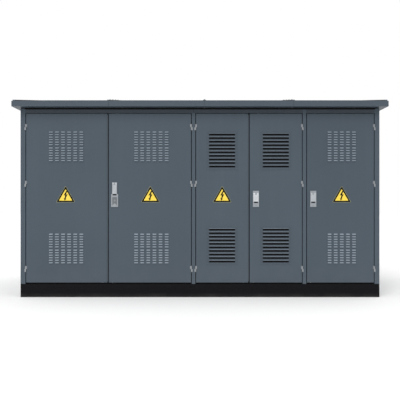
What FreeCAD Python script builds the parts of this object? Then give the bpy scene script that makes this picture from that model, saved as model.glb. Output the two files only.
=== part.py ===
# Compact box-type transformer substation, built as a parametric document in millimetres.
# +X runs to the right seen from the door side, the doors face -Y, +Z is up, and the origin
# is on the ground under the middle of the roof.
import FreeCAD, Part
import os
import re
import Sketcher

App = FreeCAD
doc = App.newDocument("substation")
sheet = doc.addObject("Spreadsheet::Sheet", "dims")

# Driving sizes. Each one can be set by itself.
SIZES = [
    # enclosure
    ("body_dep", 2200), ("base_high", 148), ("sill_gap", 15), ("door_high", 1882), ("top_gap", 6),
    ("header_high", 51), ("vent_gap", 10), ("corner_w", 54), ("mid_post_w", 40), ("sheet_t", 2),
    ("tube_wall", 3), ("hinge_gap", 8), ("pair_gap", 18), ("leaf_w1", 904), ("leaf_w2", 916),
    ("leaf_w3", 580), ("leaf_w4", 582), ("leaf_w5", 746), ("leaf_t", 35), ("lip_w", 17), ("joint_gap", 1.5),
    # clearances and depths that many pieces share
    ("panel_gap", 0.5), ("fit_room", 0.3), ("sink", 1), ("over", 1), ("stay_room", 0.1),
    # base frame
    ("beam_flange", 60), ("beam_web", 6), ("floor_t", 4), ("cable_hole", 200), ("cable_back", 110),
    ("gland_side", 90), ("rail_pitch", 660),
    ("beam_inset", 0.3),
    # roof
    ("side_over", 71.5), ("front_over", 120), ("fascia_high", 60), ("roof_rise", 163), ("roof_t", 2),
    ("fascia_lip", 30), ("rib_w", 26), ("rib_high", 12), ("roof_joint", 3), ("rafter_t", 4),
    ("rafter_high", 45), ("rafter_split", 0.2),
    # pressed louvres in the leaves
    ("slit_w", 41), ("slit_pitch_x", 68), ("slit_pitch_z", 28), ("slit_rows", 6), ("slit_band", 177),
    ("slit_field", 1138), ("slit_base", 214), ("slit_high", 14), ("hood_out", 11), ("hood_t", 1.3),
    ("hood_lip", 0.5), ("hood_root", 3),
    ("slit_x1", 256), ("slit_x2", 284), ("slit_x5", 231), ("slit_cols", 6), ("slit_cols_end", 5),
    # framed louvre panels of the transformer compartment
    ("grille_w", 344), ("grille_high", 430), ("grille_t", 2), ("grille_low", 195),
    ("grille_high_z", 1254), ("blade_w", 291), ("blade_pitch", 39.5), ("blade_high", 21),
    ("brow_out", 6), ("brow_high", 7), ("brow_lip", 1.5), ("blade_rows", 10), ("blade_first", 28),
    ("grille_edge", 20),
    # hinges
    ("hinge_high", 65), ("hinge_leaf", 13.5), ("hinge_t", 3), ("knuckle_r", 6), ("pin_r", 3),
    ("fit_gap", 0.05), ("hinge_z1", 119), ("hinge_z2", 1067), ("hinge_z3", 1698), ("knuckle_gap", 0.6),
    ("knuckle_sink", 1), ("pin_out", 2),
    # locks
    ("lock_edge_a", 26), ("lock_edge_b", 35), ("lock_w", 68), ("lock_high", 180), ("lock_t", 8),
    ("long_w", 56), ("long_high", 274), ("dish_w", 78), ("dish_high", 143), ("dish_rim", 12),
    ("dish_deep", 3), ("lever_t", 9), ("lever_gap", 0.3), ("lever_w", 58), ("lever_len", 96),
    ("long_lever_w", 46), ("long_lever_len", 122), ("spindle_r", 9), ("pivot_drop_a", 12),
    ("pivot_drop_b", 29), ("tongue_w", 18), ("tongue_gap", 0.5), ("tongue_high", 14), ("cross_r", 2.5),
    ("cross_inset", 4), ("pocket_w", 44), ("pocket_high", 20), ("pocket_deep", 6),
    ("pocket_rise", 4), ("key_r", 9), ("key_rise", 9), ("drill_room", 1), ("cross_room", 0.2),
    ("key_out", 2), ("lock_base", 842), ("cam_r", 32), ("cam_t", 4), ("cam_room", 4),
    ("crank_r", 25), ("crank_pin_r", 3),
    # lock rods and flush bolts
    ("rod_r", 5), ("rod_fit", 0.1), ("keep_r", 7), ("eye_t", 4), ("eye_gap", 1), ("eye_play", 1),
    ("eye_rise", 5.5), ("eye_rim", 5), ("bolt_len", 220), ("bolt_edge", 50), ("bolt_knob", 150),
    ("knob_r", 4), ("knob_len", 18), ("rod_tip", 3), ("rod_set", 0.5), ("stay_t", 8),
    ("guide_w", 22), ("guide_high", 12), ("guide_wall", 2),
    # signs
    ("sign_side", 212), ("sign_ratio", 0.866), ("sign_t", 1), ("sign_base", 894),
    ("sign_dx1", -12), ("sign_dx2", 5),
    ("sign_dx3", 1), ("sign_dx5", 14),
    # seals
    ("seal_w", 14), ("seal_gap", 0.5), ("seal_t", 5), ("frame_leg", 30), ("mullion_w", 60),
    ("mullion_dep", 40), ("notch_room", 1), ("seal_room", 1), ("bus_room", 22),
    # transformer
    ("tank_len", 860), ("tank_dep", 460), ("tank_high", 820), ("skid_high", 80),
    ("skid_w", 70), ("skid_inset", 20), ("lid_over", 35), ("lid_t", 12), ("fin_count", 13),
    ("fin_pitch", 62), ("fin_t", 10), ("fin_out", 190), ("fin_high", 640), ("fin_low", 90),
    ("bushing_r", 30), ("shed_r", 52), ("bushing_high", 250), ("hv_pitch", 190), ("hv_inset", 120),
    ("lv_pitch", 150), ("lv_inset", 110), ("lv_r", 26), ("lv_high", 110), ("stud_r", 9), ("stud_high", 50),
    ("tap_r", 32), ("tap_high", 26), ("tap_stem_r", 9), ("tap_stem", 24), ("tap_rise", 6),
    # low-voltage switchboard
    ("board_w", 1300), ("board_dep", 700), ("board_high", 1700), ("board_front", 430), ("board_t", 3),
    ("board_inset", 20), ("breaker_w", 320), ("breaker_high", 360), ("breaker_t", 60),
    ("feeder_w", 150), ("feeder_high", 260), ("feeder_pitch", 200), ("breaker_z", 1000),
    ("feeder_z", 420), ("bar_w", 60), ("bar_t", 8),
    # high-voltage ring-main unit
    ("rmu_w", 600), ("rmu_dep", 640), ("rmu_high", 1500), ("rmu_front", 330), ("mech_w", 420),
    ("mech_high", 360), ("mech_t", 60), ("mech_z", 900), ("cable_r", 17), ("cable_rise", 60),
    ("cable_bend", 140), ("lug_r", 12), ("lug_high", 40),
    # rotary grips of the two switches
    ("grip_r", 34), ("grip_t", 16), ("grip_bar_w", 16), ("grip_bar_t", 16), ("grip_stem_r", 10),
    ("grip_stem", 30), ("grip_gap", 0.3),
    # roof joints
    ("seam_1", -1006), ("seam_2", 51), ("seam_3", 1028),
]

# Sizes that follow from the driving sizes, as sheet formulas.
DERIVED = [
    ("body_len", "2*corner_w+2*mid_post_w+6*hinge_gap+2*pair_gap+leaf_w1+leaf_w2+leaf_w3+leaf_w4+leaf_w5"),
    ("body_x", "body_len/2"), ("body_y", "body_dep/2"),
    ("leaf_x1", "-body_x+corner_w+hinge_gap"), ("leaf_x2", "leaf_x1+leaf_w1+pair_gap"),
    ("post_xa", "leaf_x2+leaf_w2+hinge_gap"), ("leaf_x3", "post_xa+mid_post_w+hinge_gap"),
    ("leaf_x4", "leaf_x3+leaf_w3+pair_gap"), ("post_xb", "leaf_x4+leaf_w4+hinge_gap"),
    ("leaf_x5", "post_xb+mid_post_w+hinge_gap"), ("wall_xa", "post_xa+mid_post_w/2"),
    ("wall_xb", "post_xb+mid_post_w/2"), ("mid_x", "(wall_xa+wall_xb)/2"),
    ("lv_x", "(-body_x+wall_xa)/2"), ("hv_x", "(wall_xb+body_x)/2"),
    ("leaf_z", "base_high+sill_gap"), ("door_top", "leaf_z+door_high"),
    ("header_z", "door_top+top_gap"), ("header_top", "header_z+header_high"),
    ("eave_z", "header_top+vent_gap"), ("roof_edge_z", "eave_z+fascia_high"),
    ("roof_x", "body_x+side_over"), ("roof_y", "body_y+front_over"),
    ("roof_slope", "roof_rise/roof_y"), ("ridge_z", "roof_edge_z+roof_rise"),
    ("leaf_back", "-body_y+leaf_t"), ("hinge_y", "-body_y-hinge_t-knuckle_r+knuckle_sink"),
    ("rod_y", "eye_y2+eye_t/2-rod_set"), ("stop_y", "leaf_back+seal_t"),
    ("cross_len", "body_dep-2*beam_flange"), ("floor_y", "stop_y+frame_leg+fit_room"),
    ("lock_z", "leaf_z+lock_base"), ("lever_y", "-body_y-lock_t-lever_gap"),
    ("cam_y", "-body_y+sheet_t+cam_room"), ("eye_y1", "cam_y+cam_t+eye_gap"),
    ("eye_y2", "eye_y1+eye_t+eye_gap"),
    ("lock_x2", "leaf_x2+lock_edge_a+dish_w/2"), ("lock_x4", "leaf_x4+lock_edge_b+lock_w/2"),
    ("lock_x5", "leaf_x5+lock_edge_b+lock_w/2"), ("pivot_a", "lock_z+long_high-pivot_drop_a"),
    ("pivot_b", "lock_z+lock_high-pivot_drop_b"), ("bolt_x1", "leaf_x1+leaf_w1-bolt_edge"),
    ("bolt_x3", "leaf_x3+leaf_w3-bolt_edge"), ("tank_z", "base_high+skid_high"),
    ("lid_z", "tank_z+tank_high"), ("lid_top", "lid_z+lid_t"), ("bar_z", "lid_top+lv_high+stud_high"),
    ("board_z", "base_high+floor_t"), ("board_x", "lv_x-board_w/2"), ("rmu_x", "hv_x-rmu_w/2"),
    ("cable_z", "lid_top+bushing_high+lug_high+cable_rise+cable_bend"),
]
NAMES = set()


def fill_sheet():
    row = 0
    for name, value in SIZES + DERIVED:
        row += 1
        NAMES.add(name)
        text = str(value)
        if name in dict(DERIVED):
            text = "=" + text
        sheet.set("A%d" % row, name)
        sheet.set("B%d" % row, text)
        sheet.setAlias("B%d" % row, name)


def bound(text):
    """An expression text with every size name pointing at the sheet."""
    def link(match):
        word = match.group()
        return "dims." + word if word in NAMES else word
    return re.sub(r"[A-Za-z_]\w*", link, str(text))


def number(text):
    """The present value of a sheet expression."""
    def value(match):
        word = match.group()
        return "(%r)" % float(sheet.get(word)) if word in NAMES else word
    return float(App.Units.Quantity(re.sub(r"[A-Za-z_]\w*", value, str(text))).Value)


def bind(thing, prop, text):
    thing.setExpression(prop, bound(text))


def place(thing, at, turn=None):
    if turn is not None:
        thing.Placement = App.Placement(App.Vector(), turn)
    for axis, text in zip("xyz", at):
        bind(thing, ".Placement.Base." + axis, text)
    return thing


def add(kind, label):
    thing = doc.addObject(kind, re.sub(r"\W", "_", label))
    thing.Label = label
    return thing


def box(label, size, at):
    thing = add("Part::Box", label)
    for prop, text in zip(("Length", "Width", "Height"), size):
        bind(thing, prop, text)
    return place(thing, at)


ALONG = {
    "z": App.Rotation(),
    "x": App.Rotation(App.Vector(0, 1, 0), 90),
    "y": App.Rotation(App.Vector(1, 0, 0), -90),
}


def rod(label, radius, length, at, axis="z"):
    thing = add("Part::Cylinder", label)
    bind(thing, "Radius", radius)
    bind(thing, "Height", length)
    return place(thing, at, ALONG[axis])


def tube(label, size, at, along):
    """A square tube, open at both ends, its bore along one of x, y, z."""
    outer = box(label + "_outer", size, at)
    inner_size, inner_at = [], []
    for axis, length, start in zip("xyz", size, at):
        if axis == along:
            inner_size.append("(%s)+2*over" % length)
            inner_at.append(start + "-over")
        else:
            inner_size.append("(%s)-2*tube_wall" % length)
            inner_at.append(start + "+tube_wall")
    thing = add("Part::Cut", label)
    thing.Base = outer
    thing.Tool = box(label + "_inner", inner_size, inner_at)
    return thing


def cone(label, low, high, length, at):
    thing = add("Part::Cone", label)
    bind(thing, "Radius1", low)
    bind(thing, "Radius2", high)
    bind(thing, "Height", length)
    return place(thing, at)


def fuse(label, pieces):
    thing = add("Part::MultiFuse", label)
    thing.Shapes = pieces
    return thing


def cut(label, base, tools):
    tool = tools[0]
    if len(tools) > 1:
        tool = fuse(label + "_tools", tools)
    thing = add("Part::Cut", label)
    thing.Base = base
    thing.Tool = tool
    return thing


def group(label, pieces):
    thing = add("Part::Compound", label)
    thing.Links = pieces
    return thing


def sketch(body, label, plane, points, offset="0"):
    """A closed outline on one of the body's own origin planes, every corner bound to the sheet."""
    thing = body.newObject("Sketcher::SketchObject", re.sub(r"\W", "_", label))
    origin_plane = [item for item in body.Origin.OriginFeatures if item.Role == plane][0]
    thing.AttachmentSupport = [(origin_plane, "")]
    thing.MapMode = "FlatFace"
    bind(thing, ".AttachmentOffset.Base.z", offset)
    corners = [App.Vector(number(x), number(y), 0) for x, y in points]
    count = len(corners)
    for i in range(count):
        thing.addGeometry(Part.LineSegment(corners[i], corners[(i + 1) % count]), False)
    for i in range(count):
        thing.addConstraint(Sketcher.Constraint("Coincident", i, 2, (i + 1) % count, 1))
    for i in range(count):
        for kind, text, value in (("DistanceX", points[i][0], corners[i].x),
                                  ("DistanceY", points[i][1], corners[i].y)):
            index = thing.addConstraint(Sketcher.Constraint(kind, -1, 1, i, 1, value))
            thing.setExpression("Constraints[%d]" % index, bound(text))
    return thing


def pad(body, label, outline, length):
    thing = body.newObject("PartDesign::Pad", re.sub(r"\W", "_", label))
    thing.Profile = outline
    bind(thing, "Length", length)
    return thing


def pocket(body, label, outline, length):
    """A pocket that goes the way its sketch plane faces."""
    thing = body.newObject("PartDesign::Pocket", re.sub(r"\W", "_", label))
    thing.Profile = outline
    thing.Reversed = True
    bind(thing, "Length", length)
    return thing


def body_of(label):
    return add("PartDesign::Body", label)


def prism(label, plane, points, length, at, turn=None):
    """One padded outline: an angle, a channel, a folded sheet or a plate."""
    body = body_of(label)
    pad(body, label + "_pad", sketch(body, label + "_outline", plane, points), length)
    return place(body, at, turn)


def rectangle(x0, z0, x1, z1):
    return [(x0, z0), (x1, z0), (x1, z1), (x0, z1)]


def pattern(body, label, originals, steps):
    """Features repeated along the body's own axes: (axis role, whole length, how many)."""
    thing = body.newObject("PartDesign::MultiTransform", re.sub(r"\W", "_", label))
    thing.Originals = originals
    rows = []
    for i, (role, length, count) in enumerate(steps):
        row = doc.addObject("PartDesign::LinearPattern", re.sub(r"\W", "_", "%s_%d" % (label, i)))
        axis = [item for item in body.Origin.OriginFeatures if item.Role == role][0]
        row.Direction = (axis, [""])
        bind(row, "Length", length)
        bind(row, "Occurrences", count)
        rows.append(row)
    thing.Transformations = rows
    body.Tip = thing
    return thing


# rows of the low-voltage bars and of the high-voltage cables, front to back
LV_ROWS = ("-1.5*lv_pitch", "-0.5*lv_pitch", "0.5*lv_pitch", "1.5*lv_pitch")
HV_ROWS = ("-1*hv_pitch", "0", "hv_pitch")

fill_sheet()
doc.recompute()


# ---------------------------------------------------------------- base frame and floor
def channel(label, length, at, turn):
    """A rolled channel lying along its own X, flanges towards its own +Y."""
    outline = [
        ("0", "0"), ("beam_flange", "0"), ("beam_flange", "beam_web"), ("beam_web", "beam_web"),
        ("beam_web", "base_high-beam_web"), ("beam_flange", "base_high-beam_web"),
        ("beam_flange", "base_high"), ("0", "base_high"),
    ]
    return prism(label, "YZ_Plane", outline, length, at, turn)


def quarter(turns):
    return App.Rotation(App.Vector(0, 0, 1), 90 * turns)


def base_beams():
    front = channel("front_beam", "body_len", ("-body_x", "-body_y", "0"), quarter(0))
    rear = channel("rear_beam", "body_len", ("body_x", "body_y", "0"), quarter(2))
    drops = ["bolt_x1", "lock_x2-crank_r", "bolt_x3", "lock_x4-crank_r", "lock_x5-crank_r"]
    keeps = [rod("base_keep_%d" % i, "keep_r", "3*beam_web", (x, "rod_y", "base_high-2*beam_web"))
             for i, x in enumerate(drops)]
    pieces = [cut("front_beam_drilled", front, keeps), rear]
    length = "cross_len-2*beam_inset"
    start = "-cross_len/2+beam_inset"
    left_side = ["-body_x", "wall_xa", "mid_x-rail_pitch/2", "mid_x+rail_pitch/2"]
    for i, x in enumerate(left_side):
        pieces.append(channel("cross_beam_%d" % i, length, (x, "-(%s)" % start, "0"), quarter(3)))
    for i, x in enumerate(["wall_xb", "body_x"]):
        pieces.append(channel("cross_beam_r%d" % i, length, (x, start, "0"), quarter(1)))
    return group("base_beams", pieces)


def floor_plates():
    """Chequer plates of the two switch compartments, each with its cable opening."""
    deep = "body_y-corner_w-fit_room-floor_y"
    pieces = []
    for side, x0, x1, hole_x, hole_w, hole_y in (
            ("left", "-body_x+corner_w", "wall_xa-sheet_t", "lv_x", "board_w-2*gland_side",
             "-board_front+cable_back"),
            ("right", "wall_xb+sheet_t", "body_x-corner_w", "hv_x", "rmu_w-2*gland_side",
             "-rmu_front+cable_back")):
        plate = box("floor_" + side, ("(%s)-(%s)" % (x1, x0), deep, "floor_t"), (x0, "floor_y", "base_high"))
        hole = box("floor_hole_" + side, (hole_w, "cable_hole", "3*floor_t"),
                   ("%s-(%s)/2" % (hole_x, hole_w), hole_y, "base_high-floor_t"))
        pieces.append(cut("floor_%s_cut" % side, plate, [hole]))
    return group("floor_plates", pieces)


# ---------------------------------------------------------------- frame
def frame_posts():
    """Square tube posts: four corners, two between the compartments front and rear."""
    tall = "header_top-base_high"
    rear_y = "body_y-corner_w"
    spots = [("corner_0", "corner_w", "-body_x", "-body_y", tall),
             ("corner_1", "corner_w", "body_x-corner_w", "-body_y", tall),
             ("corner_2", "corner_w", "-body_x", rear_y, tall),
             ("corner_3", "corner_w", "body_x-corner_w", rear_y, tall),
             ("a_front", "mid_post_w", "post_xa", "-body_y", "header_z-base_high-panel_gap"),
             ("b_front", "mid_post_w", "post_xb", "-body_y", tall),
             ("a_rear", "mid_post_w", "post_xa", rear_y, tall),
             ("b_rear", "mid_post_w", "post_xb", rear_y, tall)]
    return group("frame_posts", [tube("post_" + name, (wide, "corner_w", high), (x, y, "base_high"), "z")
                                 for name, wide, x, y, high in spots])


def header(label, x0, x1):
    """A folded header panel: front face, bottom web, and the inner flange a leaf closes on."""
    outline = [
        ("-body_y", "header_z"), ("stop_y", "header_z"), ("stop_y", "header_z-frame_leg"),
        ("stop_y+sheet_t", "header_z-frame_leg"), ("stop_y+sheet_t", "header_z+sheet_t"),
        ("-body_y+sheet_t", "header_z+sheet_t"), ("-body_y+sheet_t", "header_top"),
        ("-body_y", "header_top"),
    ]
    return prism(label, "YZ_Plane", outline, "(%s)-(%s)" % (x1, x0), (x0, "0", "0"))


def header_panels():
    """Three panels over the doorways, drilled for the rods and bolts that rise into them."""
    panels = [("left", "-body_x+corner_w", "wall_xa-joint_gap/2", ["bolt_x1", "lock_x2+crank_r"]),
              ("middle", "wall_xa+joint_gap/2", "post_xb", ["bolt_x3", "lock_x4+crank_r"]),
              ("right", "post_xb+mid_post_w", "body_x-corner_w", ["lock_x5+crank_r"])]
    pieces = []
    for side, x0, x1, rises in panels:
        tools = [rod("header_keep_%s_%d" % (side, i), "keep_r", "3*sheet_t", (x, "rod_y", "header_z-sheet_t"))
                 for i, x in enumerate(rises)]
        if side != "right":
            # the first post stops under the header, so the inner flange is notched round it
            tools.append(box("header_notch_" + side,
                             ("mid_post_w+2*notch_room", "3*sheet_t", "frame_leg+notch_room"),
                             ("post_xa-notch_room", "stop_y-sheet_t", "header_z-frame_leg-notch_room")))
        pieces.append(cut("header_%s_cut" % side, header("header_" + side, x0, x1), tools))
    return group("header_panels", pieces)


def top_rails():
    """Square tubes that tie the posts together, and the sill angles the leaves close on."""
    pieces = []
    for side, y in (("front", "-body_y+corner_w+fit_room"), ("rear", "body_y-corner_w-mid_post_w-fit_room")):
        pieces.append(tube("top_rail_" + side, ("body_len-2*sheet_t", "mid_post_w", "mid_post_w"),
                           ("-body_x+sheet_t", y, "header_top-mid_post_w"), "x"))
    for side, x in (("left", "-body_x+sheet_t"), ("right", "body_x-sheet_t-mid_post_w")):
        pieces.append(tube("top_rail_" + side,
                           ("mid_post_w", "body_dep-2*corner_w-2*mid_post_w-4*fit_room", "mid_post_w"),
                           (x, "-body_y+corner_w+mid_post_w+2*fit_room", "header_top-mid_post_w"), "y"))
    sill = [("stop_y", "base_high"), ("stop_y+frame_leg", "base_high"),
            ("stop_y+frame_leg", "base_high+sheet_t"), ("stop_y+sheet_t", "base_high+sheet_t"),
            ("stop_y+sheet_t", "leaf_z+frame_leg"), ("stop_y", "leaf_z+frame_leg")]
    for side, x0, x1 in (("left", "-body_x+corner_w", "post_xa"),
                         ("middle", "post_xa+mid_post_w", "post_xb"),
                         ("right", "post_xb+mid_post_w", "body_x-corner_w")):
        length = "(%s)-(%s)-2*beam_inset" % (x1, x0)
        pieces.append(prism("sill_" + side, "YZ_Plane", sill, length, (x0 + "+beam_inset", "0", "0")))
    # fixed mullions behind the meeting edges of the two double doors
    for side, x in (("left", "leaf_x1+leaf_w1+pair_gap/2"), ("middle", "leaf_x3+leaf_w3+pair_gap/2")):
        pieces.append(tube("mullion_" + side,
                           ("mullion_w", "mullion_dep", "header_top-mid_post_w-base_high-floor_t"),
                           (x + "-mullion_w/2", "floor_y", "base_high+floor_t"), "z"))
    return group("top_rails", pieces)


def door_seals():
    """Rubber strips on the frame, all round each doorway, just clear of the closed leaves."""
    y = "leaf_back+seal_gap"
    thick = "seal_t-seal_gap"
    pieces = []
    doorways = (("left", "-body_x+corner_w", "post_xa"), ("middle", "post_xa+mid_post_w", "post_xb"),
                ("right", "post_xb+mid_post_w", "body_x-corner_w"))
    for side, x0, x1 in doorways:
        length = "(%s)-(%s)-2*seal_room" % (x1, x0)
        pieces.append(box("seal_top_" + side, (length, thick, "seal_w"),
                          (x0 + "+seal_room", y, "header_z-frame_leg+seal_room")))
        pieces.append(box("seal_foot_" + side, (length, thick, "seal_w"),
                          (x0 + "+seal_room", y, "leaf_z+frame_leg-seal_w-seal_room")))
    return group("door_seals", pieces)


def louvre_plate(name, at, turn=None):
    """A riveted plate with full-width open slots, each under a short pressed brow."""
    body = body_of(name)
    plate = rectangle("0", "0", "grille_w", "grille_high")
    pad(body, name + "_plate", sketch(body, name + "_edge", "XZ_Plane", plate), "grille_t")
    lip = "-grille_t-brow_out"
    top = "blade_first+blade_high"
    outline = [("-grille_t+sink", top), ("-grille_t+sink", top + "+brow_high"),
               ("-grille_t", top + "+brow_high"), (lip, top + "+brow_lip"), (lip, top)]
    side = "(grille_w-blade_w)/2"
    brow = pad(body, name + "_brow", sketch(body, name + "_brow_side", "YZ_Plane", outline, side), "blade_w")
    opening = rectangle(side, "blade_first", side + "+blade_w", top)
    slot = pocket(body, name + "_slot", sketch(body, name + "_slot_edge", "XZ_Plane", opening), "2*grille_t")
    pattern(body, name + "_rows", [brow, slot], [("Z_Axis", "blade_pitch*(blade_rows-1)", "blade_rows")])
    return place(body, at, turn)


def folded_panel(label, width, high, at, turn, grilles=()):
    """A sheet panel with folded edges, open towards its own +Y, skin on its own -Y side."""
    body = body_of(label)
    deep = "frame_leg"
    pad(body, label + "_skin", sketch(body, label + "_edge", "XZ_Plane", rectangle("0", "0", width, high)),
        deep)
    inner = rectangle("sheet_t", "sheet_t", "(%s)-sheet_t" % width, "(%s)-sheet_t" % high)
    pocket(body, label + "_tray", sketch(body, label + "_inside", "XZ_Plane", inner), deep + "-sheet_t")
    for i, z in enumerate(grilles):
        hole = rectangle("(%s)/2-blade_w/2" % width, z + "+grille_edge",
                         "(%s)/2+blade_w/2" % width, z + "+grille_high-grille_edge")
        pocket(body, "%s_window_%d" % (label, i), sketch(body, "%s_hole_%d" % (label, i), "XZ_Plane", hole),
               "2*frame_leg")
    return place(body, at, turn)


def end_panels():
    high = "header_top-mid_post_w-base_high-2*panel_gap"
    width = "body_dep-2*corner_w-2*panel_gap"
    inset = "body_y-corner_w-panel_gap"
    left = folded_panel("end_left", width, high, ("-body_x+frame_leg", inset, "base_high"), quarter(3))
    right = folded_panel("end_right", width, high, ("body_x-frame_leg", "-(%s)" % inset, "base_high"),
                         quarter(1))
    return group("end_panels", [left, right])


def rear_panels():
    high = "header_top-base_high-2*panel_gap"
    y = "body_y-frame_leg"
    turn = quarter(2)
    left = folded_panel("rear_left", "post_xa+body_x-corner_w-2*panel_gap", high,
                        ("post_xa-panel_gap", y, "base_high"), turn)
    middle = folded_panel("rear_middle", "post_xb-post_xa-mid_post_w-2*panel_gap", high,
                          ("post_xb-panel_gap", y, "base_high"), turn, ("grille_low", "grille_high_z"))
    right = folded_panel("rear_right", "body_x-corner_w-post_xb-mid_post_w-2*panel_gap", high,
                         ("body_x-corner_w-panel_gap", y, "base_high"), turn)
    plates = [louvre_plate("rear_louvre_%d" % i, ("mid_x+grille_w/2", "body_y", "base_high+" + z), turn)
              for i, z in enumerate(("grille_low", "grille_high_z"))]
    return group("rear_panels", [left, middle, right] + plates)


def partition_walls():
    """Sheet walls between the compartments, with a window for each busbar and each cable."""
    deep = "body_dep-2*corner_w-2*panel_gap"
    high = "header_top-mid_post_w-base_high-2*panel_gap"
    y = "-body_y+corner_w+panel_gap"
    wall_a = box("wall_a", ("sheet_t", deep, high), ("wall_xa-sheet_t/2", y, "base_high"))
    windows_a = [box("bar_window_%d" % i, ("5*sheet_t", "bar_w+2*bus_room", "bar_t+2*bus_room"),
                     ("wall_xa-2.5*sheet_t", row + "-bar_w/2-bus_room", "bar_z-bus_room"))
                 for i, row in enumerate(LV_ROWS)]
    wall_b = box("wall_b", ("sheet_t", deep, high), ("wall_xb-sheet_t/2", y, "base_high"))
    windows_b = [rod("cable_window_%d" % i, "cable_r+bus_room", "5*sheet_t",
                     ("wall_xb-2.5*sheet_t", row, "cable_z"), "x") for i, row in enumerate(HV_ROWS)]
    return group("partition_walls", [cut("wall_a_cut", wall_a, windows_a),
                                     cut("wall_b_cut", wall_b, windows_b)])


# ---------------------------------------------------------------- roof
SEAMS = ["-roof_x", "seam_1", "seam_2", "seam_3", "roof_x"]


def roof_sheets():
    """Eight folded sheets, four to a slope, each with its fascia and return lip."""
    outline = [
        ("-roof_y", "eave_z"), ("-roof_y+fascia_lip", "eave_z"), ("-roof_y+fascia_lip", "eave_z+roof_t"),
        ("-roof_y+roof_t", "eave_z+roof_t"), ("-roof_y+roof_t", "roof_edge_z-roof_t+roof_t*roof_slope"),
        ("0", "ridge_z-roof_t"), ("0", "ridge_z"), ("-roof_y", "roof_edge_z"),
    ]
    mirrored = [("-(%s)" % y, z) for y, z in outline][::-1]
    pieces = []
    for i in range(4):
        x0 = SEAMS[i] + ("+roof_joint/2" if i else "")
        x1 = SEAMS[i + 1] + ("-roof_joint/2" if i < 3 else "")
        length = "(%s)-(%s)" % (x1, x0)
        pieces.append(prism("roof_front_%d" % i, "YZ_Plane", outline, length, (x0, "0", "0")))
        pieces.append(prism("roof_rear_%d" % i, "YZ_Plane", mirrored, length, (x0, "0", "0")))
    return group("roof_sheets", pieces)


def roof_ribs():
    """Standing seam caps over the joints, one to each slope, and the ridge cap between them."""
    front = [("-roof_y", "roof_edge_z"), ("-rib_w", "ridge_z-rib_w*roof_slope"),
             ("-rib_w", "ridge_z-rib_w*roof_slope+rib_high"), ("-roof_y", "roof_edge_z+rib_high")]
    rear = [("-(%s)" % y, z) for y, z in front][::-1]
    pieces = []
    for i, x in enumerate(["-roof_x+rib_w", "seam_1", "seam_2", "seam_3", "roof_x-rib_w"]):
        for side, outline in (("front", front), ("rear", rear)):
            pieces.append(prism("rib_%s_%d" % (side, i), "YZ_Plane", outline, "rib_w",
                                (x + "-rib_w/2", "0", "0")))
    cap = [("-rib_w", "ridge_z-rib_w*roof_slope"), ("0", "ridge_z"), ("rib_w", "ridge_z-rib_w*roof_slope"),
           ("rib_w", "ridge_z-rib_w*roof_slope+rib_high"), ("0", "ridge_z+rib_high"),
           ("-rib_w", "ridge_z-rib_w*roof_slope+rib_high")]
    pieces.append(prism("ridge_cap", "YZ_Plane", cap, "2*roof_x", ("-roof_x", "0", "0")))
    return group("roof_ribs", pieces)


def roof_rafters():
    """Flat trusses under the joints: a tie across the top rails and a rafter to each slope."""
    foot_z = "eave_z+roof_t+fit_room"
    edge_y = "(roof_y-roof_t-fit_room)"
    under = "roof_t+fit_room"
    half = [(edge_y, foot_z), (edge_y, "roof_edge_z-(%s)" % under), ("rafter_split", "ridge_z-(%s)" % under),
            ("rafter_split", "ridge_z-(%s)-rafter_high" % under), ("body_y-2*corner_w", foot_z)]
    pieces = []
    spots = ["-body_x", "seam_1-rafter_t/2", "seam_2-rafter_t/2", "seam_3-rafter_t/2", "body_x-rafter_t"]
    for i, x in enumerate(spots):
        pieces.append(box("tie_%d" % i, ("rafter_t", "body_dep", foot_z + "-header_top"),
                          (x, "-body_y", "header_top")))
        pieces.append(prism("rafter_rear_%d" % i, "YZ_Plane", half, "rafter_t", (x, "0", "0")))
        mirrored = [("-(%s)" % y, z) for y, z in half]
        pieces.append(prism("rafter_front_%d" % i, "YZ_Plane", mirrored, "rafter_t", (x, "0", "0")))
    return group("roof_rafters", pieces)


def roof_trim():
    """Gable plates at the two ends and the soffit strips under the overhangs."""
    lip_y = "(roof_y-fascia_lip-panel_gap)"
    side_y = "(roof_y-roof_t-fit_room)"
    half = [(lip_y, "eave_z"), (lip_y, "eave_z+roof_t+fit_room"), (side_y, "eave_z+roof_t+fit_room"),
            (side_y, "roof_edge_z-roof_t-fit_room")]
    gable = half + [("0", "ridge_z-roof_t-fit_room")] + [("-" + y, z) for y, z in half[::-1]]
    pieces = [prism("gable_left", "YZ_Plane", gable, "roof_t", ("-roof_x", "0", "0")),
              prism("gable_right", "YZ_Plane", gable, "roof_t", ("roof_x-roof_t", "0", "0"))]
    strip = "front_over-fascia_lip-2*panel_gap"
    for side, y in (("front", "-roof_y+fascia_lip+panel_gap"), ("rear", "body_y+panel_gap")):
        pieces.append(box("soffit_" + side, ("2*roof_x-2*roof_t-2*panel_gap", strip, "roof_t"),
                          ("-roof_x+roof_t+panel_gap", y, "eave_z")))
    for side, x in (("left", "-roof_x+roof_t+panel_gap"), ("right", "body_x+panel_gap")):
        pieces.append(box("soffit_" + side, ("side_over-roof_t-2*panel_gap", "body_dep", "roof_t"),
                          (x, "-body_y", "eave_z")))
    return group("roof_trim", pieces)


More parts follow.
